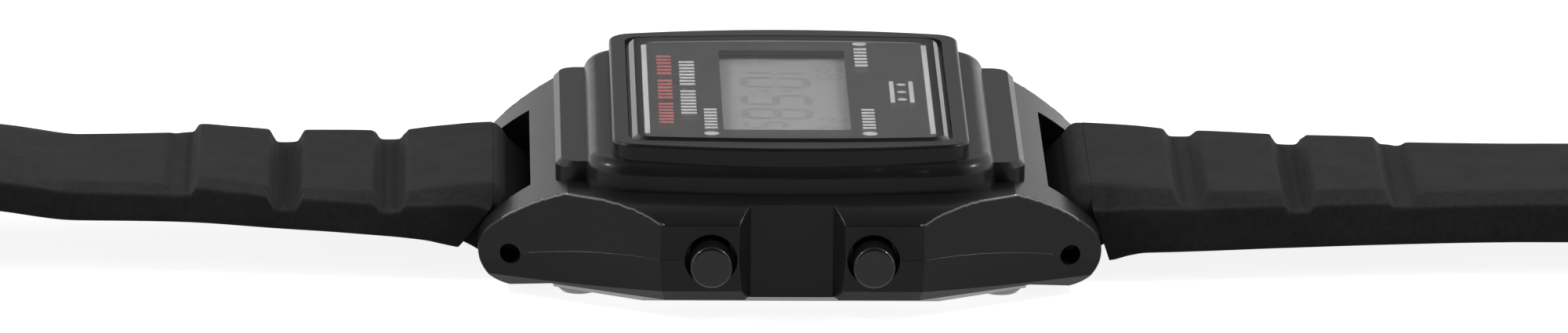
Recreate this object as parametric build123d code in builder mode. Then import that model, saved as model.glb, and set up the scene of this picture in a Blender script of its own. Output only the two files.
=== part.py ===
from build123d import *
import os
from math import asin, cos, radians, sin, tan

os.makedirs("parts", exist_ok=True)

# Digital wristwatch, in millimetres. X runs along the straps towards 12 o'clock, minus Y is
# 3 o'clock and Z is up out of the dial. The origin is the middle of the case back's outer face.

overrun = 1.0  # how far a cut runs past what it cuts
seat_gap = 0.02  # between pieces that sit on each other without being fixed
running_gap = 0.05  # radial clearance of a shaft in its bore
wire_side_share = 0.9  # side of a spring's square wire, as a share of its room

# Room for the movement, which the case is sized round
cavity_half_x = 11.0
cavity_half_y = 13.2
cavity_bow = 0.5
cavity_corner = 2.0

# Case
flank_wall = 5.3  # from the room out to the flank's crease at 3 and 9 o'clock
flank_run = 8.0  # half length of the straight flank
flank_slope_share = 0.641  # how fast the slanted flanks close in towards the lugs
crease_height = 3.8
crease_slope_share = 0.58  # slope of the lower flank, so that the crease falls to the lug tips
crease_hollow = 0.21  # how far the lower flank's slant is hollowed, so that the crease curves
upper_draft = 4.5  # degrees
lower_draft = 10.0  # degrees
bevel_draft = 45.0  # degrees
bottom_bevel = 0.6
bevel_slope_share = 0.54  # slope of the bevel under the flanks, so that it runs out at the lugs
seat_height = 1.05  # underside of the resin, where the case back seats
shoulder_height = 5.82  # deck edge above the straight flank
deck_height = 7.0
deck_fall_run = 3.0  # width of the deck's curve down to the flank
deck_wall = 2.6  # from the room out to where the deck turns down to the lugs
flank_face_share = 0.45  # faces whose normals lean further than this to the side are flanks
edge_round = 0.15
crease_round = 0.3

# Lugs, all from the spring bar's axis
pin_wall = 6.05  # from the room out to the spring bar's axis
pin_height = 2.66
pin_hole_radius = 0.625
lug_tip_radius = 1.95
lug_tip_turn = 50.0  # degrees, where the tip's round meets the lug's curved top
brow_back = 1.15  # end of the lug's curved top
brow_height = 5.95
foot_height = 0.45  # lowest point of the lug
heel_back = 2.45
lug_gap_half = 9.0
gap_edge_back = 1.25  # edge of the deck over the strap end
scoop_radius = 3.05  # hollow round the strap end

# Bezel tiers and the pads beside them
outer_wall_x = 1.5  # each tier's reach beyond the room for the movement
outer_wall_y = 1.95
outer_bow = 1.25
outer_corner = 3.0
outer_height = 8.83
outer_round = 0.9
outer_draft = 4.0  # degrees
foot_flare = 0.45
inner_step_x = 1.65  # from the outer tier in to the inner one
inner_step_y = 0.48
inner_bow = 1.3
inner_corner = 1.6
inner_round = 0.2
bezel_height = 9.8
pad_step_x = 1.8  # the pads' reach beyond the outer tier
pad_step_y = 3.35  # and how far they stay inside it
pad_height = 8.15
pad_corner = 1.4
pad_bevel = 0.35

# Flank notches
notch_half = 3.25
notch_floor_half = 2.5
notch_depth = 1.75
notch_round = 0.1

# Crystal and dial
crystal_wall_x = 1.05  # bezel beside the crystal
crystal_wall_y = 1.67
crystal_bow = 0.5
crystal_corner = 1.1
crystal_thickness = 0.8
crystal_proud = 0.1
crystal_bevel_run = 0.48
crystal_bevel_drop = 0.32
crystal_gap = 0.06
gasket_thickness = 0.2
gasket_width = 0.9
dial_step_x = 1.17
dial_step_y = 0.9
dial_corner = 0.8
window_x = 7.8
window_margin = 2.4  # dial beyond the window's ends
ledge_thickness = 0.4

# Movement, its stack from the case back upwards
movement_gap = 0.2
movement_floor = 1.5
clamp_thickness = 0.2
cell_radius = 10.0
cell_height = 1.6
cell_bevel = 0.25
cell_gap = 0.05
contact_gap = 0.6
board_thickness = 0.6
sheet_thickness = 0.1

# Display
glass_thickness = 0.6
film_thickness = 0.15
front_half_x = 6.3
glass_wall = 1.8  # holder beyond the glass
rear_half_x = 4.6
film_half_x = 4.4
film_margin = 0.8
zebra_width = 1.2
zebra_margin = 1.7
glass_clear = 0.05  # between the glass and its pocket

# Case back
plate_back = 2.65  # from the spring bar's axis in to the plate's edge
plate_inset = 3.1  # from the flank's crease in to the plate's edge
plate_run = 9.0
plate_cut = 3.2  # how far the slanted corners run in
plate_rim = 0.45
pan_inset_x = 3.2
pan_inset_y = 3.4
pan_run = 7.0
pan_cut = 2.6
pan_draft = 40.0  # degrees
seal_width = 0.6
seal_height = 0.6
seal_wall = 0.15
screw_wall = 1.1  # from the seal groove out to the screw's axis
screw_inset = 3.9
screw_head_radius = 1.28
screw_head_height = 0.38
screw_head_bevel = 0.22
screw_radius = 0.6
screw_length = 3.4
drive_half = 0.65
drive_width = 0.25
drive_depth = 0.18

# Pushers
pusher_spread = 4.92
pusher_height = 3.8
cap_radius = 1.27
cap_proud = 1.7
cap_length = 3.0
cap_round = 0.2
well_radius = 1.595
well_wall = 2.4  # between the room for the movement and the well
stem_radius = 0.7
stem_bore_radius = 0.8
stem_tip_radius = 0.45
stem_tip_length = 0.2
stem_collar = 0.29  # between the clip and the tip
pusher_travel = 0.9
clip_thickness = 0.25
clip_radius = 1.2
clip_neck_radius = 0.5
seal_ring_section = 0.32
seal_neck_radius = 0.46
return_wire = 0.2
return_radius = 1.0
return_turns = 2
leaf_thickness = 0.15
leaf_width = 1.8
leaf_drop = 0.9
leaf_foot = 1.7

# Spring bars
bar_radius = 0.75
bar_bore_radius = 0.56
bar_half = 7.2
bar_mouth = 0.4
bar_neck_radius = 0.4
piston_radius = 0.52
piston_length = 2.0
flange_start = 8.55
flange_thickness = 0.25
flange_radius = 0.72
pivot_radius = 0.55
pivot_end = 10.2
pivot_bevel = 0.14
bar_wire = 0.16
bar_coil_radius = 0.38
bar_coil_turns = 5

# Straps, from the shoulder beside the lugs outwards
strap_half = 8.9
strap_tail_half = 7.0
tongue_half = 8.45
tongue_radius = 2.75
tongue_floor = 1.0
tongue_top = 5.24
strap_bore_gap = 0.09  # round the spring bar
shoulder_reach = 18.2
shoulder_high = 4.6  # the side faces slant back below this height
shoulder_slant = 0.7  # run of that slant for each unit of height
groove_first = 24.4
groove_pitch = 6.4
groove_floor_half = 0.675
groove_slant = 0.25
groove_rim_slant = 0.45
step_half = 0.2  # half the run of the small step inside the third groove
strap_level = 5.1  # usual height of the strap's top beside the case
edge_bevel = 1.4
under_bevel = 0.35
long_length = 114.0
long_hump = 4.1  # highest point of the long strap's underside
long_thickness = 2.2
short_length = 68.0  # spring bar to buckle pin
short_floor = 1.25  # height of the short strap's underside at the buckle
short_thickness = 3.0
hole_radius = 1.0
hole_count = 10
hole_pitch = 5.5
hole_first = 30.0  # from the strap's tip

# Shapes of the two straps beside the case, as shares of strap_level, one for each station:
# shoulder, heel, first and second groove, both sides of the step, end of the taper
long_top_shares = (1.108, 1.055, 0.99, 1.008, 1.115, 1.035, 1.035)
long_low_shares = (0.33, 0.38, 0.51, 0.59, 0.643, 0.643, 0.612)
long_drop_shares = (0.11, 0.11, 0.10, 0.065, 0.08, 0.08, 0.075)
short_top_shares = (1.125, 1.09, 1.035, 1.004, 1.0, 0.958, 0.962)
short_low_shares = (0.2, 0.3, 0.352, 0.369, 0.373, 0.373, 0.373)
short_drop_shares = (0.21, 0.21, 0.15, 0.13, 0.13, 0.125, 0.125)
long_groove_shares = (0.855, 0.87, 0.99)
short_groove_shares = (0.94, 0.897, 0.902)

# Run of the hidden stretches: places along them, and heights of the underside
long_run_shares = (0.06, 0.14, 0.22, 0.32, 0.42, 0.52, 0.62, 0.72, 0.82, 1.0)
long_rise_shares = (0.862, 0.975, 1.0, 0.93, 0.74, 0.47, 0.22, 0.06, 0.0, 0.0)
short_run_shares = (0.12, 0.25, 0.38, 0.5, 0.6)
short_rise_shares = (1.0, 0.93, 0.66, 0.3, 0.0)

# Buckle and keeper
buckle_pin_radius = 0.6
buckle_pin_gap = 0.02
buckle_reach = 9.5
buckle_back = 1.8
buckle_bar = 2.1
buckle_half = 9.3
buckle_inner_half = 7.3
buckle_thickness = 1.8
buckle_round = 0.45
buckle_corner = 1.5
buckle_lift = 0.1  # front bar over the ground
slot_half = 1.3
slot_length = 7.0
prong_half = 1.0
prong_thickness = 0.8
prong_eye_radius = 1.3
prong_end = 9.1
keeper_length = 5.0
keeper_wall = 0.9
keeper_gap = 0.3
keeper_place = 14.0  # from the buckle pin back to the keeper's middle
keeper_round = 0.6

# Power and sound pieces
clamp_half = 3.2
clamp_wall = 0.7  # holder beyond the clamp's hooks
hook_height = 2.0
contact_width = 3.0
contact_length = 7.0
chip_half = 2.6
chip_height = 0.9
chip_round = 0.4
can_radius = 0.75
can_bevel = 0.2
can_length = 5.0
can_inset_x = 1.2  # from the movement's edge in to the can's middle
can_inset_y = 3.7
disc_radius = 6.0
disc_inset_x = 6.4
disc_inset_y = 6.6
disc_thickness = 0.15
ceramic_radius = 4.6
ceramic_thickness = 0.1
tone_inset_x = 2.5
tone_inset_y = 2.8
tone_wire = 0.2
tone_radius = 0.6
tone_turns = 3
tone_bore_radius = 1.0

# Heights that follow
clamp_top = movement_floor + clamp_thickness
cell_top = clamp_top + cell_height
board_low = cell_top + contact_gap
board_top = board_low + board_thickness
crystal_top = bezel_height + crystal_proud
crystal_low = crystal_top - crystal_thickness
crystal_seat = crystal_low - gasket_thickness
ledge_low = crystal_seat - ledge_thickness
front_film_low = ledge_low - film_thickness
front_glass_low = front_film_low - glass_thickness
rear_glass_low = front_glass_low - glass_thickness
rear_film_low = rear_glass_low - film_thickness
blank_height = bezel_height

# Places that follow
flank_half = cavity_half_y + flank_wall
deck_half = flank_half - deck_fall_run
deck_peak = cavity_half_x + deck_wall
pin_reach = cavity_half_x + pin_wall
brow_reach = pin_reach - brow_back
heel_reach = pin_reach - heel_back
gap_edge = pin_reach - gap_edge_back
flank_far = pin_reach + 2 * lug_tip_radius + overrun
outer_half_x = cavity_half_x + outer_wall_x
outer_half_y = cavity_half_y + outer_wall_y
inner_half_x = outer_half_x - inner_step_x
inner_half_y = outer_half_y - inner_step_y
pad_reach = outer_half_x + pad_step_x
pad_half = outer_half_y - pad_step_y
crystal_half_x = inner_half_x - crystal_wall_x
crystal_half_y = inner_half_y - crystal_wall_y
dial_half_x = crystal_half_x - dial_step_x
dial_half_y = crystal_half_y - dial_step_y
window_half_y = dial_half_y - window_margin
movement_half_x = cavity_half_x - movement_gap
movement_half_y = cavity_half_y - movement_gap
glass_half_y = movement_half_y - glass_wall
film_half_y = glass_half_y - film_margin
zebra_half_y = glass_half_y - zebra_margin
clamp_reach = movement_half_y - clamp_wall
can_x = movement_half_x - can_inset_x
can_y = movement_half_y - can_inset_y
disc_x = movement_half_x - disc_inset_x
disc_y = movement_half_y - disc_inset_y
tone_x = movement_half_x - tone_inset_x
tone_y = movement_half_y - tone_inset_y
plate_reach = pin_reach - plate_back
plate_half = flank_half - plate_inset
plate_end_half = plate_half - plate_cut
pan_reach = plate_reach - pan_inset_x
pan_half = plate_half - pan_inset_y
pan_end_half = pan_half - pan_cut
screw_x = cavity_half_x + seal_wall + seal_width + screw_wall
screw_y = plate_half - screw_inset
cap_face = flank_half + cap_proud
cap_back = cap_face - cap_length
well_floor = cavity_half_y + well_wall
clip_sag_share = ((pusher_spread + clip_radius) / cavity_half_x) ** 2  # of the wall's bow, at the clip
clip_outer = cavity_half_y - clip_sag_share * cavity_bow - running_gap
seal_place = (clip_outer + well_floor) / 2
stem_end = clip_outer - clip_thickness - stem_collar - stem_tip_length
pusher_places = {
    "lower_right": (-pusher_spread, -1),
    "upper_right": (pusher_spread, -1),
    "upper_left": (pusher_spread, 1),
}
strap_sides = {"long": -1, "short": 1}


def bowed(half_x, half_y, bow, corner):
    """A rectangle whose 3 and 9 o'clock sides bow outwards, with rounded corners."""
    with BuildSketch() as face:
        with BuildLine():
            near = ThreePointArc((-half_x, bow - half_y), (0, -half_y), (half_x, bow - half_y))
            far = ThreePointArc((half_x, half_y - bow), (0, half_y), (-half_x, half_y - bow))
            Line(near @ 1, far @ 0)
            Line(far @ 1, near @ 0)
        make_face()
        fillet(face.vertices(), radius=corner)
    return face.sketch


def octagon(half_x, end_half, run, half_y, hollow=0):
    """Straight sides of half length run at half_y, closing in to end_half at half_x."""
    middle = Vector((run + half_x) / 2, (half_y + end_half) / 2 - hollow)
    with BuildSketch() as face:
        with BuildLine():
            if hollow:
                slant = ThreePointArc((run, half_y), middle, (half_x, end_half))
            else:
                slant = Line((run, half_y), (half_x, end_half))
            Polyline(slant @ 1, (half_x, 0), (0, 0), (0, half_y), slant @ 0)
        make_face()
        mirror(about=Plane.XZ)
        mirror(about=Plane.YZ)
    return face.sketch


def flank(slope_share, grow, hollow=0):
    """Outline of the flanks, with its sides moved outwards by grow."""
    end_half = flank_half - slope_share * (flank_far - flank_run)
    with BuildSketch() as face:
        add(octagon(flank_far, end_half, flank_run, flank_half, hollow))
        offset(amount=grow, kind=Kind.INTERSECTION)
    return face.sketch


def slab(outline, low, high, mode=Mode.ADD, taper=0):
    """Extrude an outline of the XY plane from one height to another."""
    with BuildSketch(Plane.XY.offset(low)) as face:
        add(outline)
    extrude(face.sketch, amount=high - low, taper=taper, mode=mode)


def box_outline(low_x, low_y, high_x, high_y):
    """A plain rectangle between two corners."""
    with BuildSketch() as face:
        with Locations(((low_x + high_x) / 2, (low_y + high_y) / 2)):
            Rectangle(high_x - low_x, high_y - low_y)
    return face.sketch


def post(plane, start, end, radius, mode=Mode.ADD):
    """A round rod along a plane's normal."""
    with BuildSketch(plane.offset(start)) as face:
        Circle(radius)
    extrude(face.sketch, amount=end - start, mode=mode)


def coil(center, direction, length, radius, turns, wire):
    """An open coil spring of square wire, with its gap between turns printed."""
    pitch = (length - wire) / turns
    print("coil: gap between turns", round(pitch - wire, 3), "mm")
    start = Vector(*center) + Vector(*direction).normalized() * (wire / 2)
    with BuildPart() as spring:
        with BuildLine() as path:
            Helix(pitch=pitch, height=length - wire, radius=radius, center=start, direction=direction)
        outwards = path.line @ 0 - start
        with BuildSketch(Plane(origin=path.line @ 0, x_dir=outwards, z_dir=path.line % 0)):
            Rectangle(wire * wire_side_share, wire * wire_side_share)
        sweep(is_frenet=True)
    return spring.part


def keep(name, part):
    """Name a finished piece and write it."""
    part.label = name
    export_step(part, f"parts/{name}.step")


def on_notch_side(edge):
    """Whether an edge of the case is an outer edge of a notch's side walls."""
    middle = edge.center()
    beside = notch_floor_half + notch_round / 2 < abs(middle.X) < notch_half + notch_round / 2
    return beside and abs(middle.Y) > flank_half - notch_depth


def side_plane(x, z, side):
    """The plane through the middle whose normal points out of the flank."""
    return Plane(origin=(x, 0, z), x_dir=(1, 0, 0), z_dir=(0, side, 0))


# Case body: two drafted flank prisms, a side profile and an end profile cross in one blank
with BuildPart() as case_body:
    upper_grow = crease_height * tan(radians(upper_draft))
    slab(flank(flank_slope_share, upper_grow), 0, blank_height, taper=upper_draft)
    lower_grow = (blank_height - crease_height) * tan(radians(lower_draft))
    slab(flank(crease_slope_share, lower_grow, crease_hollow), blank_height, 0, Mode.INTERSECT, lower_draft)
    lower_inset = (crease_height - seat_height) * tan(radians(lower_draft))
    bevel_inset = -lower_inset - bottom_bevel - seat_height
    slab(flank(bevel_slope_share, bevel_inset), 0, blank_height, Mode.INTERSECT, -bevel_draft)
    with BuildSketch(Plane.XZ):
        with BuildLine():
            tip = CenterArc((pin_reach, pin_height), lug_tip_radius, lug_tip_turn, -lug_tip_turn)
            foot = TangentArc(tip @ 1, (pin_reach, foot_height), tangent=tip % 1)
            Line((0, deck_height), (deck_peak, deck_height))
            ThreePointArc((deck_peak, deck_height), (brow_reach, brow_height), tip @ 0)
            Polyline(foot @ 1, (heel_reach, seat_height), (0, seat_height), (0, deck_height))
        make_face()
        mirror(about=Plane.YZ)
    extrude(amount=flank_half + overrun, both=True, mode=Mode.INTERSECT)
    with BuildSketch(Plane.YZ):
        with BuildLine():
            fall = TangentArc((deck_half, deck_height), (flank_half, shoulder_height), tangent=(1, 0))
            skirt = fall @ 1 + (fall % 1) * overrun
            Polyline(fall @ 1, skirt, (skirt.X, 0), (0, 0), (0, deck_height), fall @ 0)
        make_face()
        mirror(about=Plane.YZ)
    extrude(amount=flank_far, both=True, mode=Mode.INTERSECT)

    # Round the crease of the straight flanks, that of the slanted ones, and then the top edges of
    # all flanks, where they meet the deck and the lugs
    for radius, meets_flank, near, far in (
        (crease_round, True, 0, flank_run),
        (crease_round, True, flank_run, flank_far),
        (edge_round, False, 0, flank_far),
    ):
        flanks = case_body.faces().filter_by(lambda face: abs(face.normal_at().Y) > flank_face_share)
        upper = flanks.filter_by(lambda face: face.normal_at().Z > 0)
        if meets_flank:
            others = flanks.filter_by(lambda face: face.normal_at().Z < 0).edges()
        else:
            others = case_body.faces().filter_by(lambda face: abs(face.normal_at().Y) < flank_face_share).edges()
        edges = [edge for edge in upper.edges() if edge in others and edge.length > radius]
        fillet([edge for edge in edges if near <= abs(edge.center().X) < far], radius=radius)
    # Pads, then the two bezel tiers
    with BuildSketch(Plane.XY.offset(shoulder_height)):
        RectangleRounded(2 * pad_reach, 2 * pad_half, pad_corner)
    extrude(amount=pad_height - shoulder_height)
    chamfer(case_body.faces().sort_by(Axis.Z)[-1].edges(), length=pad_bevel)
    foot_low = deck_height - foot_flare
    slab(
        bowed(outer_half_x, outer_half_y + foot_flare, outer_bow, outer_corner),
        foot_low - overrun, foot_low + foot_flare / 2,
    )
    slab(bowed(outer_half_x, outer_half_y, outer_bow, outer_corner), foot_low, outer_height, taper=outer_draft)
    fillet(case_body.faces().sort_by(Axis.Z)[-1].edges(), radius=outer_round)
    slab(bowed(inner_half_x, inner_half_y, inner_bow, inner_corner), deck_height, bezel_height)
    fillet(case_body.faces().sort_by(Axis.Z)[-1].edges(), radius=inner_round)

    # Gaps between the lugs, with a round hollow for the strap end, and the spring bar holes
    for side in (-1, 1):
        near, far = sorted((side * gap_edge, side * flank_far))
        slab(
            box_outline(near, -lug_gap_half, far, lug_gap_half),
            -overrun, blank_height + overrun, Mode.SUBTRACT,
        )
        lug_plane = side_plane(side * pin_reach, pin_height, 1)
        post(lug_plane, -lug_gap_half, lug_gap_half, scoop_radius, Mode.SUBTRACT)
        post(lug_plane, -flank_half, flank_half, pin_hole_radius, Mode.SUBTRACT)

    # Flank notches, pusher wells and stem bores
    for side in (-1, 1):
        with BuildSketch(Plane.XY):
            with BuildLine():
                Polyline(
                    (-notch_half, side * flank_half),
                    (-notch_floor_half, side * (flank_half - notch_depth)),
                    (notch_floor_half, side * (flank_half - notch_depth)),
                    (notch_half, side * flank_half),
                    (notch_half, side * (flank_half + overrun)),
                    (-notch_half, side * (flank_half + overrun)), close=True,
                )
            make_face()
        extrude(amount=blank_height, mode=Mode.SUBTRACT)
    fillet(case_body.edges().filter_by(on_notch_side), radius=notch_round)
    for x, side in pusher_places.values():
        plane = side_plane(x, pusher_height, side)
        post(plane, well_floor, flank_half + overrun, well_radius, Mode.SUBTRACT)
        post(plane, cavity_half_y - cavity_bow - overrun, flank_half, stem_bore_radius, Mode.SUBTRACT)

    # Room for the movement, the ledge under the crystal and the crystal's seat
    slab(bowed(cavity_half_x, cavity_half_y, cavity_bow, cavity_corner), 0, ledge_low, Mode.SUBTRACT)
    slab(
        bowed(crystal_half_x - gasket_width, crystal_half_y - gasket_width, crystal_bow, crystal_corner),
        0, blank_height, Mode.SUBTRACT,
    )
    slab(
        bowed(crystal_half_x + crystal_gap, crystal_half_y + crystal_gap, crystal_bow, crystal_corner),
        crystal_seat, blank_height + overrun, Mode.SUBTRACT,
    )

    # Groove for the case back seal, and screw holes
    with BuildSketch(Plane.XY.offset(seat_height)):
        grow = seal_wall + seal_width
        add(bowed(cavity_half_x + grow, cavity_half_y + grow, cavity_bow, cavity_corner + grow))
        add(bowed(cavity_half_x, cavity_half_y, cavity_bow, cavity_corner), mode=Mode.SUBTRACT)
    extrude(amount=seal_height, mode=Mode.SUBTRACT)
    for x in (-screw_x, screw_x):
        for y in (-screw_y, screw_y):
            plane = Plane(origin=(x, y, 0))
            post(plane, 0, plate_rim + screw_length + overrun, screw_radius + running_gap, Mode.SUBTRACT)
keep("case_body", case_body.part)

with BuildPart() as crystal:
    slab(bowed(crystal_half_x, crystal_half_y, crystal_bow, crystal_corner), crystal_low, crystal_top)
    top = crystal.faces().sort_by(Axis.Z)[-1]
    chamfer(top.edges(), length=crystal_bevel_run, length2=crystal_bevel_drop, reference=top)
keep("crystal", crystal.part)

with BuildPart() as crystal_gasket:
    slab(bowed(crystal_half_x, crystal_half_y, crystal_bow, crystal_corner), crystal_seat, crystal_low)
    slab(
        bowed(crystal_half_x - gasket_width, crystal_half_y - gasket_width, crystal_bow, crystal_corner),
        crystal_seat, crystal_low, Mode.SUBTRACT,
    )
keep("crystal_gasket", crystal_gasket.part)

with BuildPart() as dial_plate:
    slab(bowed(dial_half_x, dial_half_y, crystal_bow, dial_corner), crystal_seat, crystal_low)
    slab(
        box_outline(-window_x / 2, -window_half_y, window_x / 2, window_half_y),
        crystal_seat, crystal_low, Mode.SUBTRACT,
    )
keep("dial_plate", dial_plate.part)

# Display: front film, two glasses and the rear film, carried by the holder on its long ends
with BuildPart() as front_polariser:
    slab(box_outline(-film_half_x, -film_half_y, film_half_x, film_half_y), front_film_low, ledge_low)
keep("front_polariser", front_polariser.part)

with BuildPart() as lcd_glass:
    slab(
        box_outline(-front_half_x, -glass_half_y, front_half_x, glass_half_y),
        front_glass_low, front_film_low,
    )
    slab(
        box_outline(-rear_half_x, -glass_half_y, rear_half_x, glass_half_y),
        rear_glass_low, front_glass_low,
    )
keep("lcd_glass", lcd_glass.part)

with BuildPart() as rear_reflector:
    slab(box_outline(-rear_half_x, -film_half_y, rear_half_x, film_half_y), rear_film_low, rear_glass_low)
keep("rear_reflector", rear_reflector.part)

zebra_middle = (rear_half_x + front_half_x) / 2
for side, name in ((-1, "zebra_connector_lower"), (1, "zebra_connector_upper")):
    with BuildPart() as zebra_connector:
        middle = side * zebra_middle
        slab(
            box_outline(middle - zebra_width / 2, -zebra_half_y, middle + zebra_width / 2, zebra_half_y),
            board_top, front_glass_low,
        )
    keep(name, zebra_connector.part)


def pusher_cuts(low, high, reach):
    """Room in the movement for the pushers' stems and clips."""
    for x, side in pusher_places.values():
        half = clip_radius + movement_gap
        near, far = sorted((side * reach, side * (cavity_half_y + overrun)))
        slab(box_outline(x - half, near, x + half, far), low, high, Mode.SUBTRACT)


stem_high = pusher_height + clip_radius + movement_gap
pressed_end = stem_end - pusher_travel
leaf_face = pressed_end - running_gap  # outer face of a switch leaf
leaf_back = leaf_face - leaf_thickness
leaf_low = pusher_height - leaf_drop

with BuildPart() as module_frame:
    slab(bowed(movement_half_x, movement_half_y, cavity_bow, cavity_corner), board_top, ledge_low)
    slab(
        box_outline(
            -front_half_x - glass_clear, -glass_half_y - glass_clear,
            front_half_x + glass_clear, glass_half_y + glass_clear,
        ),
        front_glass_low, ledge_low, Mode.SUBTRACT,
    )
    slab(
        box_outline(
            -rear_half_x - glass_clear, -glass_half_y - glass_clear,
            rear_half_x + glass_clear, glass_half_y + glass_clear,
        ),
        rear_film_low, front_glass_low, Mode.SUBTRACT,
    )
    for side in (-1, 1):
        middle = side * zebra_middle
        half = zebra_width / 2 + glass_clear
        slab(
            box_outline(middle - half, -zebra_half_y - glass_clear, middle + half, zebra_half_y + glass_clear),
            board_top, front_glass_low, Mode.SUBTRACT,
        )
    chip_room = chip_half + movement_gap
    slab(
        box_outline(-chip_room, -chip_room, chip_room, chip_room),
        board_top, board_top + chip_height + movement_gap, Mode.SUBTRACT,
    )
    pusher_cuts(board_top, stem_high, leaf_back - movement_gap)
keep("module_frame", module_frame.part)

with BuildPart() as circuit_board:
    slab(bowed(movement_half_x, movement_half_y, cavity_bow, cavity_corner), board_low, board_top)
    pusher_cuts(board_low, board_top, leaf_back)
keep("circuit_board", circuit_board.part)

with BuildPart() as chip_cover:
    slab(box_outline(-chip_half, -chip_half, chip_half, chip_half), board_top, board_top + chip_height)
    fillet(chip_cover.faces().sort_by(Axis.Z)[-1].edges(), radius=chip_round)
keep("chip_cover", chip_cover.part)

with BuildPart() as battery_frame:
    slab(bowed(movement_half_x, movement_half_y, cavity_bow, cavity_corner), movement_floor, board_low)
    post(Plane.XY, movement_floor, board_low, cell_radius + cell_gap, Mode.SUBTRACT)
    slab(
        box_outline(
            -clamp_half - cell_gap, -clamp_reach - cell_gap, clamp_half + cell_gap, clamp_reach + cell_gap,
        ),
        movement_floor, clamp_top, Mode.SUBTRACT,
    )
    for side in (-1, 1):
        near, far = sorted((side * (clamp_reach - clamp_thickness - cell_gap), side * (clamp_reach + cell_gap)))
        slab(
            box_outline(-clamp_half - cell_gap, near, clamp_half + cell_gap, far),
            movement_floor, clamp_top + hook_height + cell_gap, Mode.SUBTRACT,
        )
    pusher_cuts(movement_floor, board_low, leaf_back - movement_gap)
    for x, side in pusher_places.values():
        half = leaf_width / 2 + glass_clear
        near, far = sorted((side * (leaf_back - leaf_foot), side * leaf_back))
        slab(box_outline(x - half, near, x + half, far), board_low - leaf_thickness, board_low, Mode.SUBTRACT)
    with BuildSketch(Plane.XY.offset(board_low - 2 * (can_radius + cell_gap))):
        with Locations((can_x, -can_y)):
            Rectangle(2 * (can_radius + cell_gap), can_length + 2 * cell_gap)
    extrude(amount=2 * (can_radius + cell_gap), mode=Mode.SUBTRACT)
    post(Plane(origin=(tone_x, tone_y, 0)), movement_floor, board_low, tone_bore_radius, Mode.SUBTRACT)
keep("battery_frame", battery_frame.part)

with BuildPart() as quartz_can:
    plane = Plane(origin=(can_x, -can_y, board_low - can_radius), x_dir=(1, 0, 0), z_dir=(0, 1, 0))
    post(plane, -can_length / 2, can_length / 2, can_radius)
    chamfer(quartz_can.edges().filter_by(GeomType.CIRCLE), length=can_bevel)
keep("quartz_can", quartz_can.part)

for name, (x, side) in pusher_places.items():
    with BuildPart() as switch_leaf:
        half = leaf_width / 2
        near, far = sorted((side * leaf_back, side * leaf_face))
        slab(box_outline(x - half, near, x + half, far), leaf_low, board_low)
        near, far = sorted((side * (leaf_back - leaf_foot), side * leaf_face))
        slab(box_outline(x - half, near, x + half, far), board_low - leaf_thickness, board_low)
    keep(f"switch_leaf_{name}", switch_leaf.part)

with BuildPart() as battery:
    post(Plane.XY, clamp_top, cell_top, cell_radius)
    chamfer(battery.faces().sort_by(Axis.Z)[0].edges(), length=cell_bevel)
keep("battery", battery.part)

with BuildPart() as battery_contact:
    with BuildSketch(Plane.XZ):
        with BuildLine():
            Polyline(
                (-contact_length / 2, board_low), (contact_length / 2, board_low),
                (contact_length / 2, board_low - leaf_thickness), (0, board_low - leaf_thickness),
                (-contact_length / 2, cell_top), (-contact_length / 2 - leaf_thickness, cell_top),
                close=True,
            )
        make_face()
    extrude(amount=contact_width / 2, both=True)
keep("battery_contact", battery_contact.part)

with BuildPart() as battery_clamp:
    slab(box_outline(-clamp_half, -clamp_reach, clamp_half, clamp_reach), movement_floor, clamp_top)
    for side in (-1, 1):
        near, far = sorted((side * (clamp_reach - clamp_thickness), side * clamp_reach))
        slab(box_outline(-clamp_half, near, clamp_half, far), movement_floor, clamp_top + hook_height)
keep("battery_clamp", battery_clamp.part)

with BuildPart() as insulator_sheet:
    slab(
        bowed(movement_half_x, movement_half_y, cavity_bow, cavity_corner),
        movement_floor - sheet_thickness, movement_floor,
    )
    post(Plane(origin=(tone_x, tone_y, 0)), 0, movement_floor, tone_bore_radius, Mode.SUBTRACT)
keep("insulator_sheet", insulator_sheet.part)

with BuildPart() as buzzer_disc:
    plane = Plane(origin=(disc_x, disc_y, seat_height))
    post(plane, 0, disc_thickness, disc_radius)
    post(plane, disc_thickness, disc_thickness + ceramic_thickness, ceramic_radius)
keep("buzzer_disc", buzzer_disc.part)

tone_low = seat_height + disc_thickness
with BuildPart() as buzzer_spring:
    add(coil((tone_x, tone_y, tone_low), (0, 0, 1), board_low - tone_low, tone_radius, tone_turns, tone_wire))
keep("buzzer_spring", buzzer_spring.part)

# Case back, its seal and its screws
with BuildPart() as case_back:
    slab(octagon(plate_reach, plate_end_half, plate_run, plate_half), plate_rim, seat_height)
    slab(octagon(pan_reach, pan_end_half, pan_run, pan_half), plate_rim, 0, taper=pan_draft)
    for x in (-screw_x, screw_x):
        for y in (-screw_y, screw_y):
            plane = Plane(origin=(x, y, 0))
            post(plane, 0, seat_height, screw_radius + running_gap, Mode.SUBTRACT)
keep("case_back", case_back.part)

with BuildPart() as case_back_seal:
    grow = seal_wall + seal_width - seat_gap
    with BuildSketch(Plane.XY.offset(seat_height)):
        add(bowed(cavity_half_x + grow, cavity_half_y + grow, cavity_bow, cavity_corner + grow))
        add(
            bowed(cavity_half_x + seal_wall, cavity_half_y + seal_wall, cavity_bow, cavity_corner + seal_wall),
            mode=Mode.SUBTRACT,
        )
    extrude(amount=seal_height)
keep("case_back_seal", case_back_seal.part)

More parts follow.
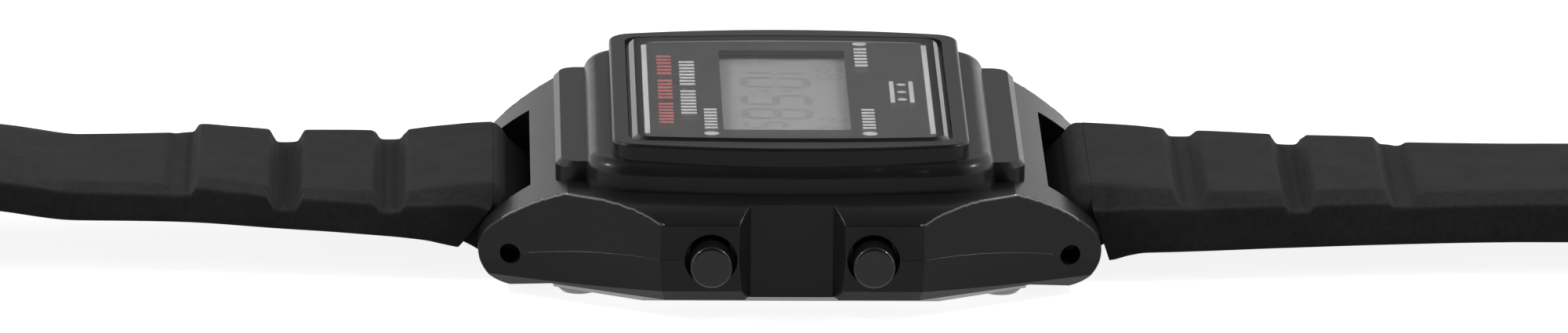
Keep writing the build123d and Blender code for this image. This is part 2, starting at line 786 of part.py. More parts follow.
with BuildPart() as case_back_screws:
    for x in (-screw_x, screw_x):
        for y in (-screw_y, screw_y):
            plane = Plane(origin=(x, y, plate_rim))
            post(plane, 0, screw_length, screw_radius)
            post(plane, -screw_head_height, 0, screw_head_radius)
    heads = case_back_screws.faces().group_by(Axis.Z)[0]
    chamfer(heads.edges(), length=screw_head_bevel)
    with BuildSketch(Plane.XY.offset(plate_rim - screw_head_height)):
        with GridLocations(2 * screw_x, 2 * screw_y, 2, 2):
            Rectangle(2 * drive_half, drive_width)
            Rectangle(drive_width, 2 * drive_half)
    extrude(amount=drive_depth, mode=Mode.SUBTRACT)
keep("case_back_screws", case_back_screws.part)

# Pushers: cap with stem, seal ring, clip and return spring
for name, (x, side) in pusher_places.items():
    plane = side_plane(x, pusher_height, side)
    with BuildPart() as pusher:
        post(plane, cap_back, cap_face, cap_radius)
        rim = pusher.edges().filter_by(GeomType.CIRCLE).sort_by(Axis.Y)[-1 if side > 0 else 0]
        fillet(rim, radius=cap_round)
        post(plane, stem_end + stem_tip_length, cap_back, stem_radius)
        post(plane, stem_end, stem_end + stem_tip_length, stem_tip_radius)
        for start, end, neck in (
            (clip_outer - clip_thickness, clip_outer, clip_neck_radius),
            (seal_place - seal_ring_section / 2, seal_place + seal_ring_section / 2, seal_neck_radius),
        ):
            with BuildSketch(plane.offset(start)):
                Circle(stem_radius + overrun)
                Circle(neck, mode=Mode.SUBTRACT)
            extrude(amount=end - start, mode=Mode.SUBTRACT)
    keep(f"pusher_{name}", pusher.part)
    with BuildPart() as pusher_seal:
        ring_plane = plane.offset(seal_place)
        with BuildSketch(Plane(origin=ring_plane.origin, x_dir=ring_plane.x_dir, z_dir=ring_plane.y_dir)):
            with Locations((seal_neck_radius + seal_ring_section / 2, 0)):
                RegularPolygon(seal_ring_section / 2, 6)
        revolve(axis=Axis(ring_plane.origin, ring_plane.z_dir))
    keep(f"pusher_seal_{name}", pusher_seal.part)
    with BuildPart() as pusher_clip:
        post(plane, clip_outer - clip_thickness, clip_outer, clip_radius)
        post(plane, clip_outer - clip_thickness, clip_outer, clip_neck_radius, Mode.SUBTRACT)
        with BuildSketch(plane.offset(clip_outer - clip_thickness)):
            with Locations((0, clip_radius)):
                Rectangle(2 * clip_neck_radius, 2 * clip_radius)
        extrude(amount=clip_thickness, mode=Mode.SUBTRACT)
    keep(f"pusher_clip_{name}", pusher_clip.part)
    with BuildPart() as pusher_spring:
        start = plane.offset(well_floor).origin
        add(coil(tuple(start), (0, side, 0), cap_back - well_floor, return_radius, return_turns, return_wire))
    keep(f"pusher_spring_{name}", pusher_spring.part)

# Spring bars: tube, two tips and the spring between them
for strap, side in strap_sides.items():
    plane = side_plane(side * pin_reach, pin_height, 1)
    with BuildPart() as bar_tube:
        post(plane, -bar_half, bar_half, bar_radius)
        post(plane, bar_mouth - bar_half, bar_half - bar_mouth, bar_bore_radius, Mode.SUBTRACT)
        post(plane, -bar_half, bar_half, bar_neck_radius + running_gap, Mode.SUBTRACT)
    keep(f"bar_tube_{strap}", bar_tube.part)
    piston_face = bar_half - bar_mouth - seat_gap
    for end, hand in (("near", -1), ("far", 1)):
        plane = side_plane(side * pin_reach, pin_height, hand)
        with BuildPart() as bar_tip:
            post(plane, piston_face - piston_length, piston_face, piston_radius)
            post(plane, piston_face, flange_start, bar_neck_radius)
            post(plane, flange_start, flange_start + flange_thickness, flange_radius)
            post(plane, flange_start + flange_thickness, pivot_end, pivot_radius)
            chamfer(bar_tip.faces().sort_by(Axis.Y)[-1 if hand > 0 else 0].edges(), length=pivot_bevel)
        keep(f"bar_tip_{strap}_{end}", bar_tip.part)
    coil_half = piston_face - piston_length
    with BuildPart() as bar_spring:
        start = (side * pin_reach, -coil_half, pin_height)
        add(coil(start, (0, 1, 0), 2 * coil_half, bar_coil_radius, bar_coil_turns, bar_wire))
    keep(f"bar_spring_{strap}", bar_spring.part)

# Straps
taper_end = groove_first + 3 * groove_pitch
step_place = groove_first + 2 * groove_pitch
heel_place = (shoulder_reach + groove_first) / 2
head_places = (
    shoulder_reach, heel_place, groove_first, groove_first + groove_pitch,
    step_place - step_half, step_place + step_half, taper_end,
)


def half_at(reach):
    """Half width of a strap: full beside the case, then closing in to the tail."""
    run = (reach - groove_first) / (taper_end - groove_first)
    return strap_half - (strap_half - strap_tail_half) * min(max(run, 0), 1)


def strap_blank(side, stations):
    """Loft a strap through upright sections: place, underside, top and drop of the edge."""
    with BuildPart() as blank:
        for reach, low, high, drop in stations:
            half = half_at(reach)
            with BuildSketch(Plane(origin=(side * reach, 0, 0), x_dir=(0, 1, 0), z_dir=(1, 0, 0))):
                with BuildLine():
                    Polyline(
                        (half - under_bevel, low), (half, low + under_bevel), (half, high - drop),
                        (half - edge_bevel, high), (edge_bevel - half, high), (-half, high - drop),
                        (-half, low + under_bevel), (under_bevel - half, low), close=True,
                    )
                make_face()
        loft(ruled=True)
    return blank.part


def head_stations(top_shares, low_shares, drop_shares):
    """Stations beside the case, from the shares of the strap's level."""
    return [
        (place, low * strap_level, top * strap_level, drop * strap_level)
        for place, top, low, drop in zip(head_places, top_shares, low_shares, drop_shares)
    ]


def strap_head_cuts(side, top_shares, groove_shares):
    """Three cross grooves, each wider on the flat top than across the bevelled edges."""
    tops = (top_shares[2], top_shares[3], top_shares[4])
    for number, (top, floor) in enumerate(zip(tops, groove_shares)):
        place = groove_first + number * groove_pitch
        low = floor * strap_level
        high = top * strap_level
        rims = ((groove_slant, strap_half + overrun), (groove_rim_slant, half_at(place) - edge_bevel))
        for slant, half in rims:
            grow = slant * (high + overrun - low) / (high - low)
            with BuildSketch(Plane.XZ) as cross:
                with BuildLine():
                    Polyline(
                        (side * (place - groove_floor_half), low), (side * (place + groove_floor_half), low),
                        (side * (place + groove_floor_half + grow), high + overrun),
                        (side * (place - groove_floor_half - grow), high + overrun), close=True,
                    )
                make_face()
            extrude(cross.sketch, amount=half, both=True, mode=Mode.SUBTRACT)


def strap_tongue(side, low):
    """The narrow end between the lugs, round about the spring bar, with its bore."""
    plane = side_plane(side * pin_reach, pin_height, 1)
    post(plane, -tongue_half, tongue_half, tongue_radius)
    with BuildSketch(Plane.XZ) as web:
        with BuildLine():
            Polyline(
                (side * pin_reach, tongue_floor), (side * heel_place, low),
                (side * heel_place, tongue_top), (side * pin_reach, tongue_top), close=True,
            )
        make_face()
    extrude(web.sketch, amount=tongue_half, both=True)
    near, far = sorted((side * (pin_reach - 2 * tongue_radius), side * heel_place))
    slab(
        box_outline(near, -strap_half - overrun, far, strap_half + overrun),
        tongue_floor - 2 * tongue_radius, tongue_floor, Mode.SUBTRACT,
    )
    post(plane, -strap_half - overrun, strap_half + overrun, bar_radius + strap_bore_gap, Mode.SUBTRACT)
    for hand in (-1, 1):
        with BuildSketch(Plane.XZ.offset(hand * tongue_half)) as slant:
            with BuildLine():
                Polyline(
                    (side * shoulder_reach, 0), (side * shoulder_reach, shoulder_high),
                    (side * (shoulder_reach + shoulder_slant * shoulder_high), 0), close=True,
                )
            make_face()
        extrude(slant.sketch, amount=hand * (strap_half + overrun - tongue_half), mode=Mode.SUBTRACT)


long_far = pin_reach + long_length
long_head = head_stations(long_top_shares, long_low_shares, long_drop_shares)
long_tail = [
    (
        taper_end + run * (long_far - taper_end), rise * long_hump,
        rise * long_hump + long_thickness, long_drop_shares[-1] * strap_level,
    )
    for run, rise in zip(long_run_shares, long_rise_shares)
]
with BuildPart() as strap_long:
    add(strap_blank(-1, long_head + long_tail))
    strap_tongue(-1, long_low_shares[1] * strap_level)
    strap_head_cuts(-1, long_top_shares, long_groove_shares)
    with BuildSketch():
        with Locations((-long_far, 0)):
            Rectangle(2 * strap_tail_half, 2 * (strap_tail_half + overrun))
        with Locations((strap_tail_half - long_far, 0)):
            Circle(strap_tail_half, mode=Mode.SUBTRACT)
    extrude(amount=long_hump, mode=Mode.SUBTRACT)
    for number in range(hole_count):
        place = long_far - hole_first - number * hole_pitch
        post(Plane(origin=(-place, 0, 0)), -overrun, blank_height, hole_radius, Mode.SUBTRACT)
keep("strap_long", strap_long.part)

buckle_x = pin_reach + short_length
buckle_z = short_floor + short_thickness / 2
short_head = head_stations(short_top_shares, short_low_shares, short_drop_shares)
short_drop = short_drop_shares[-1] * strap_level
short_level = short_low_shares[-1] * strap_level
short_tail = [
    (
        taper_end + run * (buckle_x - taper_end), short_floor + rise * (short_level - short_floor),
        short_floor + rise * (short_level - short_floor) + short_thickness, short_drop,
    )
    for run, rise in zip(short_run_shares, short_rise_shares)
]
short_tail.append((buckle_x, short_floor, short_floor + short_thickness, short_drop))
with BuildPart() as strap_short:
    add(strap_blank(1, short_head + short_tail))
    strap_tongue(1, short_low_shares[1] * strap_level)
    strap_head_cuts(1, short_top_shares, short_groove_shares)
    pin_plane = side_plane(buckle_x, buckle_z, 1)
    post(pin_plane, -strap_tail_half, strap_tail_half, short_thickness / 2)
    slab(
        box_outline(buckle_x - slot_length, -slot_half, buckle_x + short_thickness, slot_half),
        0, blank_height, Mode.SUBTRACT,
    )
    bore = buckle_pin_radius + running_gap
    post(pin_plane, -strap_tail_half - overrun, strap_tail_half + overrun, bore, Mode.SUBTRACT)
keep("strap_short", strap_short.part)

with BuildPart() as strap_keeper:
    low = short_floor - keeper_gap
    high = short_floor + short_thickness + long_thickness + 2 * keeper_gap
    half = strap_tail_half + keeper_gap
    with BuildSketch(Plane.YZ.offset(buckle_x - keeper_place - keeper_length / 2)):
        with Locations((0, (low + high) / 2)):
            RectangleRounded(2 * (half + keeper_wall), high - low + 2 * keeper_wall, keeper_round + keeper_wall)
            RectangleRounded(2 * half, high - low, keeper_round, mode=Mode.SUBTRACT)
    extrude(amount=keeper_length)
keep("strap_keeper", strap_keeper.part)

# Buckle, tilted so that its front bar comes down to the ground
buckle_tilt = asin((buckle_z - buckle_thickness / 2 - buckle_lift) / buckle_reach)
buckle_plane = Plane(
    origin=(buckle_x, 0, buckle_z),
    x_dir=(cos(buckle_tilt), 0, -sin(buckle_tilt)),
    z_dir=(sin(buckle_tilt), 0, cos(buckle_tilt)),
)
with BuildPart() as buckle_frame:
    with BuildSketch(buckle_plane.offset(-buckle_thickness / 2)) as ring:
        with Locations(((buckle_reach - buckle_back) / 2, 0)):
            RectangleRounded(buckle_reach + buckle_back, 2 * buckle_half, buckle_corner)
        inner = buckle_reach - buckle_bar
        with Locations((inner / 2 - buckle_back, 0)):
            Rectangle(inner + 2 * buckle_back, 2 * buckle_inner_half, mode=Mode.SUBTRACT)
    extrude(amount=buckle_thickness)
    top = buckle_frame.faces().sort_by(Axis(buckle_plane.origin, buckle_plane.z_dir))[-1]
    fillet(top.edges(), radius=buckle_round)
    eye_radius = buckle_pin_radius + buckle_pin_gap
    post(pin_plane, -buckle_half - overrun, buckle_half + overrun, eye_radius, Mode.SUBTRACT)
keep("buckle_frame", buckle_frame.part)

with BuildPart() as buckle_pin:
    post(pin_plane, seat_gap - buckle_half, buckle_half - seat_gap, buckle_pin_radius)
keep("buckle_pin", buckle_pin.part)

with BuildPart() as buckle_tongue:
    bar_top = buckle_thickness / 2 + running_gap
    bar_start = buckle_reach - buckle_bar
    with BuildSketch(Plane(origin=buckle_plane.origin, x_dir=buckle_plane.x_dir, z_dir=(0, -1, 0))):
        with BuildLine():
            Polyline(
                (0, 0), (bar_start, bar_top), (prong_end, bar_top), (prong_end, bar_top + prong_thickness / 2),
                (bar_start, bar_top + prong_thickness), (0, prong_eye_radius), close=True,
            )
        make_face()
        Circle(prong_eye_radius)
    extrude(amount=prong_half, both=True)
    post(pin_plane, -prong_half - overrun, prong_half + overrun, buckle_pin_radius + running_gap, Mode.SUBTRACT)
keep("buckle_tongue", buckle_tongue.part)
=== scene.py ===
import math

import bmesh
import bpy
from mathutils import Matrix, Vector


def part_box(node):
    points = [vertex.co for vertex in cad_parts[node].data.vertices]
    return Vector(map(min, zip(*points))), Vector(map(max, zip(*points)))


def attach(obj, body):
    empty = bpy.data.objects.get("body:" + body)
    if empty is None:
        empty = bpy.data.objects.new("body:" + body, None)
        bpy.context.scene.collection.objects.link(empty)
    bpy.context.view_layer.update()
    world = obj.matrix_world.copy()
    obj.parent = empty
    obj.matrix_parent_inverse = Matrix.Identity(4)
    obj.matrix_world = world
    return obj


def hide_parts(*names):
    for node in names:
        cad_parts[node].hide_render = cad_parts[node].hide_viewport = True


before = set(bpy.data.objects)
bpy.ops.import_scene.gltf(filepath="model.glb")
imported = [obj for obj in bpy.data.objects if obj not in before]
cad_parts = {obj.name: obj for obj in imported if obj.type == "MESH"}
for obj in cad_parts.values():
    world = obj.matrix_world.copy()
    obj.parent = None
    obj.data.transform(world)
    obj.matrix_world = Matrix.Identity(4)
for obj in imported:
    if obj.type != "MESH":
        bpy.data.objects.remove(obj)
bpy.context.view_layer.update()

MM = 0.001

# The photograph's width, and its camera, worked out from the case's symmetry and its outline. The lens is a long one,
# from far back. The lens is as long as the views from other sides allow.
PHOTO_WIDTH = 2000
VIEW_AZIMUTH = -1.3  # degrees
VIEW_ELEVATION = 14.85  # degrees
VIEW_ROLL = 0.5  # degrees
VIEW_DISTANCE = 0.966
FOCAL_PIXELS = 20000
VIEW_POINT = Vector((-0.00014, 0, 0.00481))
VIEW_NEAR, VIEW_FAR = 0.01, 20
SENSOR = 36

# Sizes below are in millimetres. x runs along the straps, y across them, z up.

# Straps. A place is a distance out from the watch's middle.
PIN_REACH, PIN_HEIGHT = 17.05, 2.66  # spring bar
BORE_RADIUS = 0.84
CUT_HALF = 12  # half length of the tools that cut across a strap
SHOULDER_HIGH = 4.6  # the strap's end face slants below this height
SHOULDER_FADE = 6  # and the slant dies out over this distance
TONGUE_HALF, TONGUE_FOOT = 8.45, 3.0  # its top follows the strap's bevel above the foot
TONGUE_MIDDLE = Vector((PIN_REACH + 0.6, 3.1))
TONGUE_FALLS = (  # place, and how far the tongue's top is below the strap's
    (21.0, 0.6), (19.6, 0.25), (18.9, 0.06), (18.3, 0.01), (18.0, 0.06), (17.75, 0.2), (17.5, 0.48),
    (17.3, 0.8), (17.1, 1.12), (16.8, 1.42),
)
TONGUE_NOSE = ((16.4, 4.05), (16.0, 3.7), (15.65, 3.25), (15.5, 2.7), (15.6, 2.1), (15.95, 1.6), (16.4, 1.25))
TONGUE_UNDER = ((17.0, 1.1, 0), (17.7, 1.1, 0.5), (18.4, 1.3, 1), (19.07, 1.74, 1), (19.72, 2.11, 1))
TONGUE_ROOT = (21.0, 2.7)
TONGUE_ENDS = ((1, 0.25), (0.993, 0.12), (0.98, 0.03), (0.96, 0))  # share of the half width, and how far it is drawn in
TONGUE_SHARES = (0.93, 0.9, 0.88, 0.86, 0.84, 0.82, 0.8, 0.4)
GROOVE_FLOOR_HALF = 0.66
GROOVE_WALL, GROOVE_EDGE_WALL = 0.42, 0.1  # run of a groove's wall on the flat and on the bevelled edge
GROOVE_EDGE_RISE = 0.2
GROOVE_SOFT, GROOVE_FOOT_SOFT = 0.14, 0.1
GROOVE_SPAN = 2.2  # beyond it a groove leaves the top as it is
EDGE_BLEND = 0.045
BEVEL = 1.4
BEND_SOFT = 0.22
SIDE_ROUND = 0.2
UNDER_ROUND = 0.35
ROUND_TURNS = (30, 60, 90)  # degrees
FLAT_EDGE, BEND_EDGE = 1.75, 1.05  # the cross section is drawn finely between these distances from the outline
SIDE_SHARE, UNDER_SHARE, FLAT_SHARE, BEND_SHARE = 0.3, 0.4, 0.3, 0.6  # of the half width, where the tip is narrow
WIDTHS = ((0, 8.9), (22, 8.9), (25.4, 8.8), (30, 8.35), (36, 7.75), (42, 7.16), (45.5, 7.0), (140, 7.0))
TIP_RADIUS = 7.0
TIP_TURNS = range(0, 89, 3)  # degrees
TIP_GAP, END_GAP = 0.004, 0.01  # of the last ring and of the last even step from the end
START_RINGS, RUN_START = (0.01, 0.08, 0.2), 0.5  # out from where the full width starts
FINE_STEP, FINE_UNTIL, COARSE_STEP = 0.45, 46, 0.8
RUN_CLEAR = 1.45  # the even steps stay this far from a groove, which has rings of its own
WALL_START, WALL_STEP, WALL_RINGS = 0.42, 0.07, 14
FLOOR_STEP, FLOOR_RINGS = 0.14, (-2, -1, 0, 1, 2)
LONG = {
    "side": -1,
    "reach": 18.1,  # the full width starts here
    "slant": 0.8,
    "under": 0.0,  # lifts the tongue's underside
    "end": 131.05,
    "tops": (
        (14, 5.85), (18.2, 5.75), (21.3, 5.47), (24.4, 5.15), (27.6, 5.2), (30.8, 5.25), (34, 5.56),
        (36.4, 5.8), (37.0, 5.74), (37.5, 5.34), (38.3, 5.28), (43.6, 5.28), (46.3, 5.45), (48.85, 5.73),
        (55.8, 6.2), (62.8, 6.3), (71.6, 6.0), (80.3, 5.23), (89.1, 4.13), (97.8, 3.1), (106.6, 2.45),
        (115.3, 2.2), (140, 2.2),
    ),
    "lows": (
        (14, 1.6), (18.1, 1.92), (20, 2.15), (21.3, 2.33), (24.4, 2.57), (27.6, 2.76), (30.8, 2.87),
        (37.2, 3.12), (43.6, 3.05), (48.85, 3.66), (55.8, 4.1), (62.8, 4.1), (71.6, 3.81), (80.3, 3.03),
        (89.1, 1.93), (97.8, 0.9), (106.6, 0.25), (115.3, 0), (140, 0),
    ),
    "drops": (  # of the bevel, from the flat to the outline
        (14, 1.6), (18.2, 1.5), (18.8, 1.28), (19.7, 1.0), (22.7, 0.74), (24.4, 0.54), (30.8, 0.33),
        (37.2, 0.41), (43.6, 0.38), (47.7, 0.12), (140, 0.12),
    ),
    "grooves": (24.4, 30.8, 37.2),
    "floors": (4.2, 4.15, 4.93),
}
SHORT = {
    "side": 1,
    "reach": 18.5,
    "slant": 0.33,
    "under": 0.27,
    "end": 85.05,
    "tops": (
        (14, 6.0), (18.2, 5.84), (21.3, 5.66), (24.4, 5.38), (27.6, 5.28), (30.8, 5.22), (36.8, 5.22),
        (37.4, 5.18), (37.9, 4.94), (43.6, 4.98), (48.6, 5.0), (54, 4.9), (59.3, 4.68), (64.3, 4.45),
        (68.5, 4.25), (90, 4.25),
    ),
    "lows": (
        (14, 1.1), (18.5, 1.2), (20.1, 1.51), (21.3, 1.67), (24, 1.73), (27, 1.8), (30.8, 1.85), (37, 1.9),
        (48.6, 1.9), (54, 1.86), (59.3, 1.68), (64.3, 1.45), (68.5, 1.25), (90, 1.25),
    ),
    "drops": (
        (14, 1.7), (18.8, 1.55), (20.8, 1.3), (23.6, 1.0), (27.6, 0.75), (30.8, 0.66), (43.6, 0.64),
        (140, 0.64),
    ),
    "grooves": (24.6, 31.25, 37.6),
    "floors": (4.62, 4.2, 4.4),
}
HOLE_RADIUS, HOLE_COUNT, HOLE_PITCH, HOLE_FIRST = 1.0, 10, 5.5, 30.0
HOLE_CUT, HOLE_SIDES = (-2, 9), 48
SLOT_HALF, SLOT_LENGTH = 1.3, 7.0  # for the buckle's tongue
SLOT_CUT, SLOT_PAST = (-1, 8), 4
EYE_HALF, EYE_SUNK = 6.95, 0.01
PIN_BORE = 0.65
KEEPER_WALL, KEEPER_CORNER, KEEPER_SOFT = 0.9, 1.5, 0.28

# Ridges on the case: the run of x that they cover, the heights searched, the lean of the direction in which the
# case reaches furthest there, the ridge's radius, and how deep its middle is sunk
RIDGE_STEPS = 60
RIDGE_LEVEL_STEP = 0.04
RAY_START = 30
PARTING = {"span": (6.9, 16.0), "heights": (2.3, 4.3), "lean": 0, "radius": 0.06, "sunk": 0.025}
FLANK_EDGE = {"span": (7.75, 17.6), "heights": (3.0, 7.8), "lean": 35, "radius": 0.09, "sunk": 0.065}

# Dial, with generic bars and dots where the real one has lettering, and pale strips that are a painted reflection of
# the crystal's bevel
DIAL_GAP = 0.02  # under the crystal
DIAL_WIDER = 0.25
DIAL_BOW, DIAL_CORNER = 0.5, 0.8
WINDOW_PLACE, WINDOW_HALF, WINDOW_MARGIN, WINDOW_CORNER = -0.16, 3.9, 2.4, 0.15
WINDOW_CUT = (5, 12)
PRINT_THICK = 0.008
RED_ROW = (-7.5, 0.9, ((8.5, 3.5), (2.5, -2.4), (-3.2, -8.3)))  # x, height, the groups' ends
PALE_ROW = (-6.1, 0.95, ((7.1, 0.9), (-0.1, -6.1)))
LEGENDS = ((-4.8, -4.5, -9.6, -10.6), (4.85, -4.5, -9.6, -10.6), (4.73, 5.6, 10.4, 11.3))  # x, ends, its dot's y
LEGEND_HEIGHT, LEGEND_DOT = 0.8, 0.45
TICK_PITCH, TICK_SHARE, TICK_CORNER = 0.78, 0.62, 0.08
SIGN_MIDDLE, SIGN_BARS, SIGN_BAR_HALF = -0.5, (7.65, 6.45), (0.14, 2.6)
SIGN_DOT_X, SIGN_DOTS, SIGN_DOT = 7.05, (-2.3, -0.5, 1.3), 0.28
SIGN_CORNER = 0.1
# The pale strips towards 6 and 12 o'clock are a painted reflection of the crystal's bevel, not print.
REFLECTION_STRIP_PLACE, REFLECTION_STRIP_MIDDLE, REFLECTION_STRIP_WIDE, REFLECTION_STRIP_LONG = 8.7, 0.2, 0.32, 21.6  # pale edges towards 6 and 12 o'clock

# Display: each row's figures with their left edges, then foot, height, width and stroke
FIGURE_THICK = 0.004
FIGURE_ROWS = (
    ((("1", 8.6), ("0", 5.2), ("5", 0.9), ("8", -2.4)), -2.6, 3.9, 2.2, 0.5),
    ((("5", -5.6), ("0", -7.7)), -2.6, 2.4, 1.4, 0.34),
    ((("2", -4.6), ("6", -6.6), ("6", 7.6), ("8", 5.9)), 2.0, 1.5, 1.0, 0.24),
)
COLON = ((-1.4, 1.9), (0.1, 1.8))
COLON_DOT = 0.27
SEGMENTS = {  # which bars of a figure are on: a to f from its top clockwise, then g in the middle
    "0": "abcdef", "1": "bc", "2": "abged", "5": "afgcd", "6": "afgedc", "8": "abcdefg",
}
FIGURE_LEAN = 0.08
FIGURE_GAP = 0.18  # share of the stroke

# Studio, in metres: the floor, the lamps, and the surroundings' level. A height runs from the horizon at 0 to the
# zenith at 1, a turn from the camera's side at 0 to the far side at 1.
FLOOR_SIZE, FLOOR_CELLS, FLOOR_DROP = 6, 8, 0.00005
FLOOR_COLOR, FLOOR_GLOW = 0.3, 0.88
LAMP_PLACE, LAMP_SIZE, LAMP_POWER = (0.7, 0, 0.66), 0.1, 4
HORIZON = ((0, 1.0), (0.035, 1.0), (0.07, 0.14), (1, 0.14))
SIDE_LEVEL = 2.4
SIDE_BY_TURN = ((0, 0), (0.18, 0), (0.3, 0.5), (0.4, 1.0), (0.6, 1.0), (0.72, 0.75), (0.86, 0.36), (1, 0.32))
SIDE_BY_HEIGHT = ((0, 1.0), (0.4, 1.0), (0.7, 0.8), (0.9, 0.3), (1, 0.1))
CARD_BY_TURN = ((0, 0), (0.94, 0), (0.965, 1), (1, 1))
CARD_BY_HEIGHT = ((0, 0), (0.14, 0), (0.18, 1), (0.32, 1), (0.36, 0), (1, 0))


def add_camera():
    """A long lens from low on the 3 o'clock side."""
    azimuth, elevation = math.radians(VIEW_AZIMUTH), math.radians(VIEW_ELEVATION)
    back = Vector((
        math.sin(azimuth) * math.cos(elevation),
        -math.cos(azimuth) * math.cos(elevation),
        math.sin(elevation),
    ))
    right = Vector((0, 0, 1)).cross(back).normalized()
    up = back.cross(right)
    turned = Matrix((right, up, back)).transposed() @ Matrix.Rotation(math.radians(VIEW_ROLL), 3, "Z")
    data = bpy.data.cameras.new("camera")
    data.sensor_width = SENSOR
    data.lens = FOCAL_PIXELS * SENSOR / PHOTO_WIDTH
    data.clip_start = VIEW_NEAR
    data.clip_end = VIEW_FAR
    camera = bpy.data.objects.new("camera", data)
    camera.matrix_world = Matrix.Translation(VIEW_POINT + VIEW_DISTANCE * back) @ turned.to_4x4()
    bpy.context.collection.objects.link(camera)
    bpy.context.scene.camera = camera


def add_lamp(name, side):
    """A small square lamp up on the 6 or 12 o'clock side, turned towards the watch."""
    place = Vector((side * LAMP_PLACE[0], *LAMP_PLACE[1:]))
    data = bpy.data.lights.new(name, "AREA")
    data.shape = "RECTANGLE"
    data.size = LAMP_SIZE
    data.size_y = LAMP_SIZE
    data.energy = LAMP_POWER
    lamp = bpy.data.objects.new(name, data)
    lamp.location = place
    lamp.rotation_euler = (-place).to_track_quat("-Z", "Y").to_euler()
    bpy.context.collection.objects.link(lamp)


# Materials

def node_tree(material):
    """An emptied node tree, with its output node."""
    material.use_nodes = True
    tree = material.node_tree
    tree.nodes.clear()
    return tree, tree.nodes.new("ShaderNodeOutputMaterial")


def math_node(tree, operation, first, second=None, third=None):
    """A Math node; its inputs are numbers or sockets."""
    node = tree.nodes.new("ShaderNodeMath")
    node.operation = operation
    for socket, value in zip(node.inputs, (first, second, third)):
        if value is None:
            continue
        if isinstance(value, (int, float)):
            socket.default_value = value
        else:
            tree.links.new(value, socket)
    return node.outputs[0]


def noise(tree, scale, detail, roughness, stretch=(1, 1, 1)):
    """Noise in object space, from 0 to 1; the scale counts in metres."""
    place = tree.nodes.new("ShaderNodeTexCoord")
    mapping = tree.nodes.new("ShaderNodeMapping")
    mapping.inputs["Scale"].default_value = stretch
    tree.links.new(place.outputs["Object"], mapping.inputs["Vector"])
    node = tree.nodes.new("ShaderNodeTexNoise")
    node.inputs["Scale"].default_value = scale
    node.inputs["Detail"].default_value = detail
    node.inputs["Roughness"].default_value = roughness
    tree.links.new(mapping.outputs[0], node.inputs["Vector"])
    return node.outputs["Fac"]


def spread(tree, factor, ends):
    """A 0 to 1 value brought to run between two ends."""
    node = tree.nodes.new("ShaderNodeMapRange")
    tree.links.new(factor, node.inputs["Value"])
    node.inputs["To Min"].default_value, node.inputs["To Max"].default_value = ends
    return node.outputs[0]


def mix_colors(tree, factor, first, second):
    """A colour between two, by a 0 to 1 value."""
    node = tree.nodes.new("ShaderNodeMix")
    node.data_type = "RGBA"
    tree.links.new(factor, node.inputs["Factor"])
    for name, value in (("A", first), ("B", second)):
        socket = [s for s in node.inputs if s.name == name and s.type == "RGBA"][0]
        socket.default_value = (*value, 1)
    return [s for s in node.outputs if s.type == "RGBA"][0]


def bump(tree, height, strength, distance):
    """A surface normal from a height; the distance is in metres."""
    node = tree.nodes.new("ShaderNodeBump")
    node.inputs["Strength"].default_value = strength
    node.inputs["Distance"].default_value = distance
    tree.links.new(height, node.inputs["Height"])
    return node.outputs[0]


def principled(name, **sockets):
    """A material with one Principled shader; sockets take numbers or tuples."""
    material = bpy.data.materials.new(name)
    tree, output = node_tree(material)
    shader = tree.nodes.new("ShaderNodeBsdfPrincipled")
    for socket, value in sockets.items():
        shader.inputs[socket.replace("_", " ")].default_value = value
    tree.links.new(shader.outputs[0], output.inputs[0])
    return material, tree, shader


def moulded(name, dark, light, rough, grain, depth, specular=0.5, blotch=180, coat=0.0, coat_rough=0.1, alpha=1.0):
    """Moulded plastic or rubber: faint blotches of colour and gloss over a fine grain, under a thin glossy skin."""
    material, tree, shader = principled(
        name, Specular_IOR_Level=specular, Coat_Weight=coat, Coat_Roughness=coat_rough, Alpha=alpha,
    )
    cloud = noise(tree, blotch, 4, 0.6)
    fine = noise(tree, grain, 2, 0.5)
    both = math_node(tree, "MULTIPLY_ADD", cloud, 0.5, math_node(tree, "MULTIPLY", fine, 0.5))
    tree.links.new(mix_colors(tree, both, dark, light), shader.inputs["Base Color"])
    tree.links.new(spread(tree, both, rough), shader.inputs["Roughness"])
    tree.links.new(bump(tree, fine, 1.0, depth), shader.inputs["Normal"])
    return material


def brushed(name, dark, light, rough, stretch=(1, 1, 1)):
    """Worked metal: fine lines along one direction, with faint tarnish."""
    material, tree, shader = principled(name, Metallic=1.0)
    lines = noise(tree, 900, 4, 0.6, stretch)
    tarnish = noise(tree, 160, 3, 0.5)
    tree.links.new(mix_colors(tree, tarnish, dark, light), shader.inputs["Base Color"])
    tree.links.new(spread(tree, lines, rough), shader.inputs["Roughness"])
    tree.links.new(bump(tree, lines, 0.6, 0.000002), shader.inputs["Normal"])
    return material


def clear(name, color, rough, index):
    """Clear plastic or glass, with the faintest film of handling marks. It lets the lamps' rays through."""
    material, tree, shader = principled(name, Base_Color=(*color, 1), Transmission_Weight=1.0, IOR=index)
    marks = noise(tree, 260, 3, 0.6)
    tree.links.new(spread(tree, marks, rough), shader.inputs["Roughness"])
    path = tree.nodes.new("ShaderNodeLightPath")
    open_shader = tree.nodes.new("ShaderNodeBsdfTransparent")
    either = tree.nodes.new("ShaderNodeMixShader")
    tree.links.new(path.outputs["Is Shadow Ray"], either.inputs["Fac"])
    tree.links.new(shader.outputs[0], either.inputs[1])
    tree.links.new(open_shader.outputs[0], either.inputs[2])
    tree.links.new(either.outputs[0], tree.nodes["Material Output"].inputs[0])
    return material


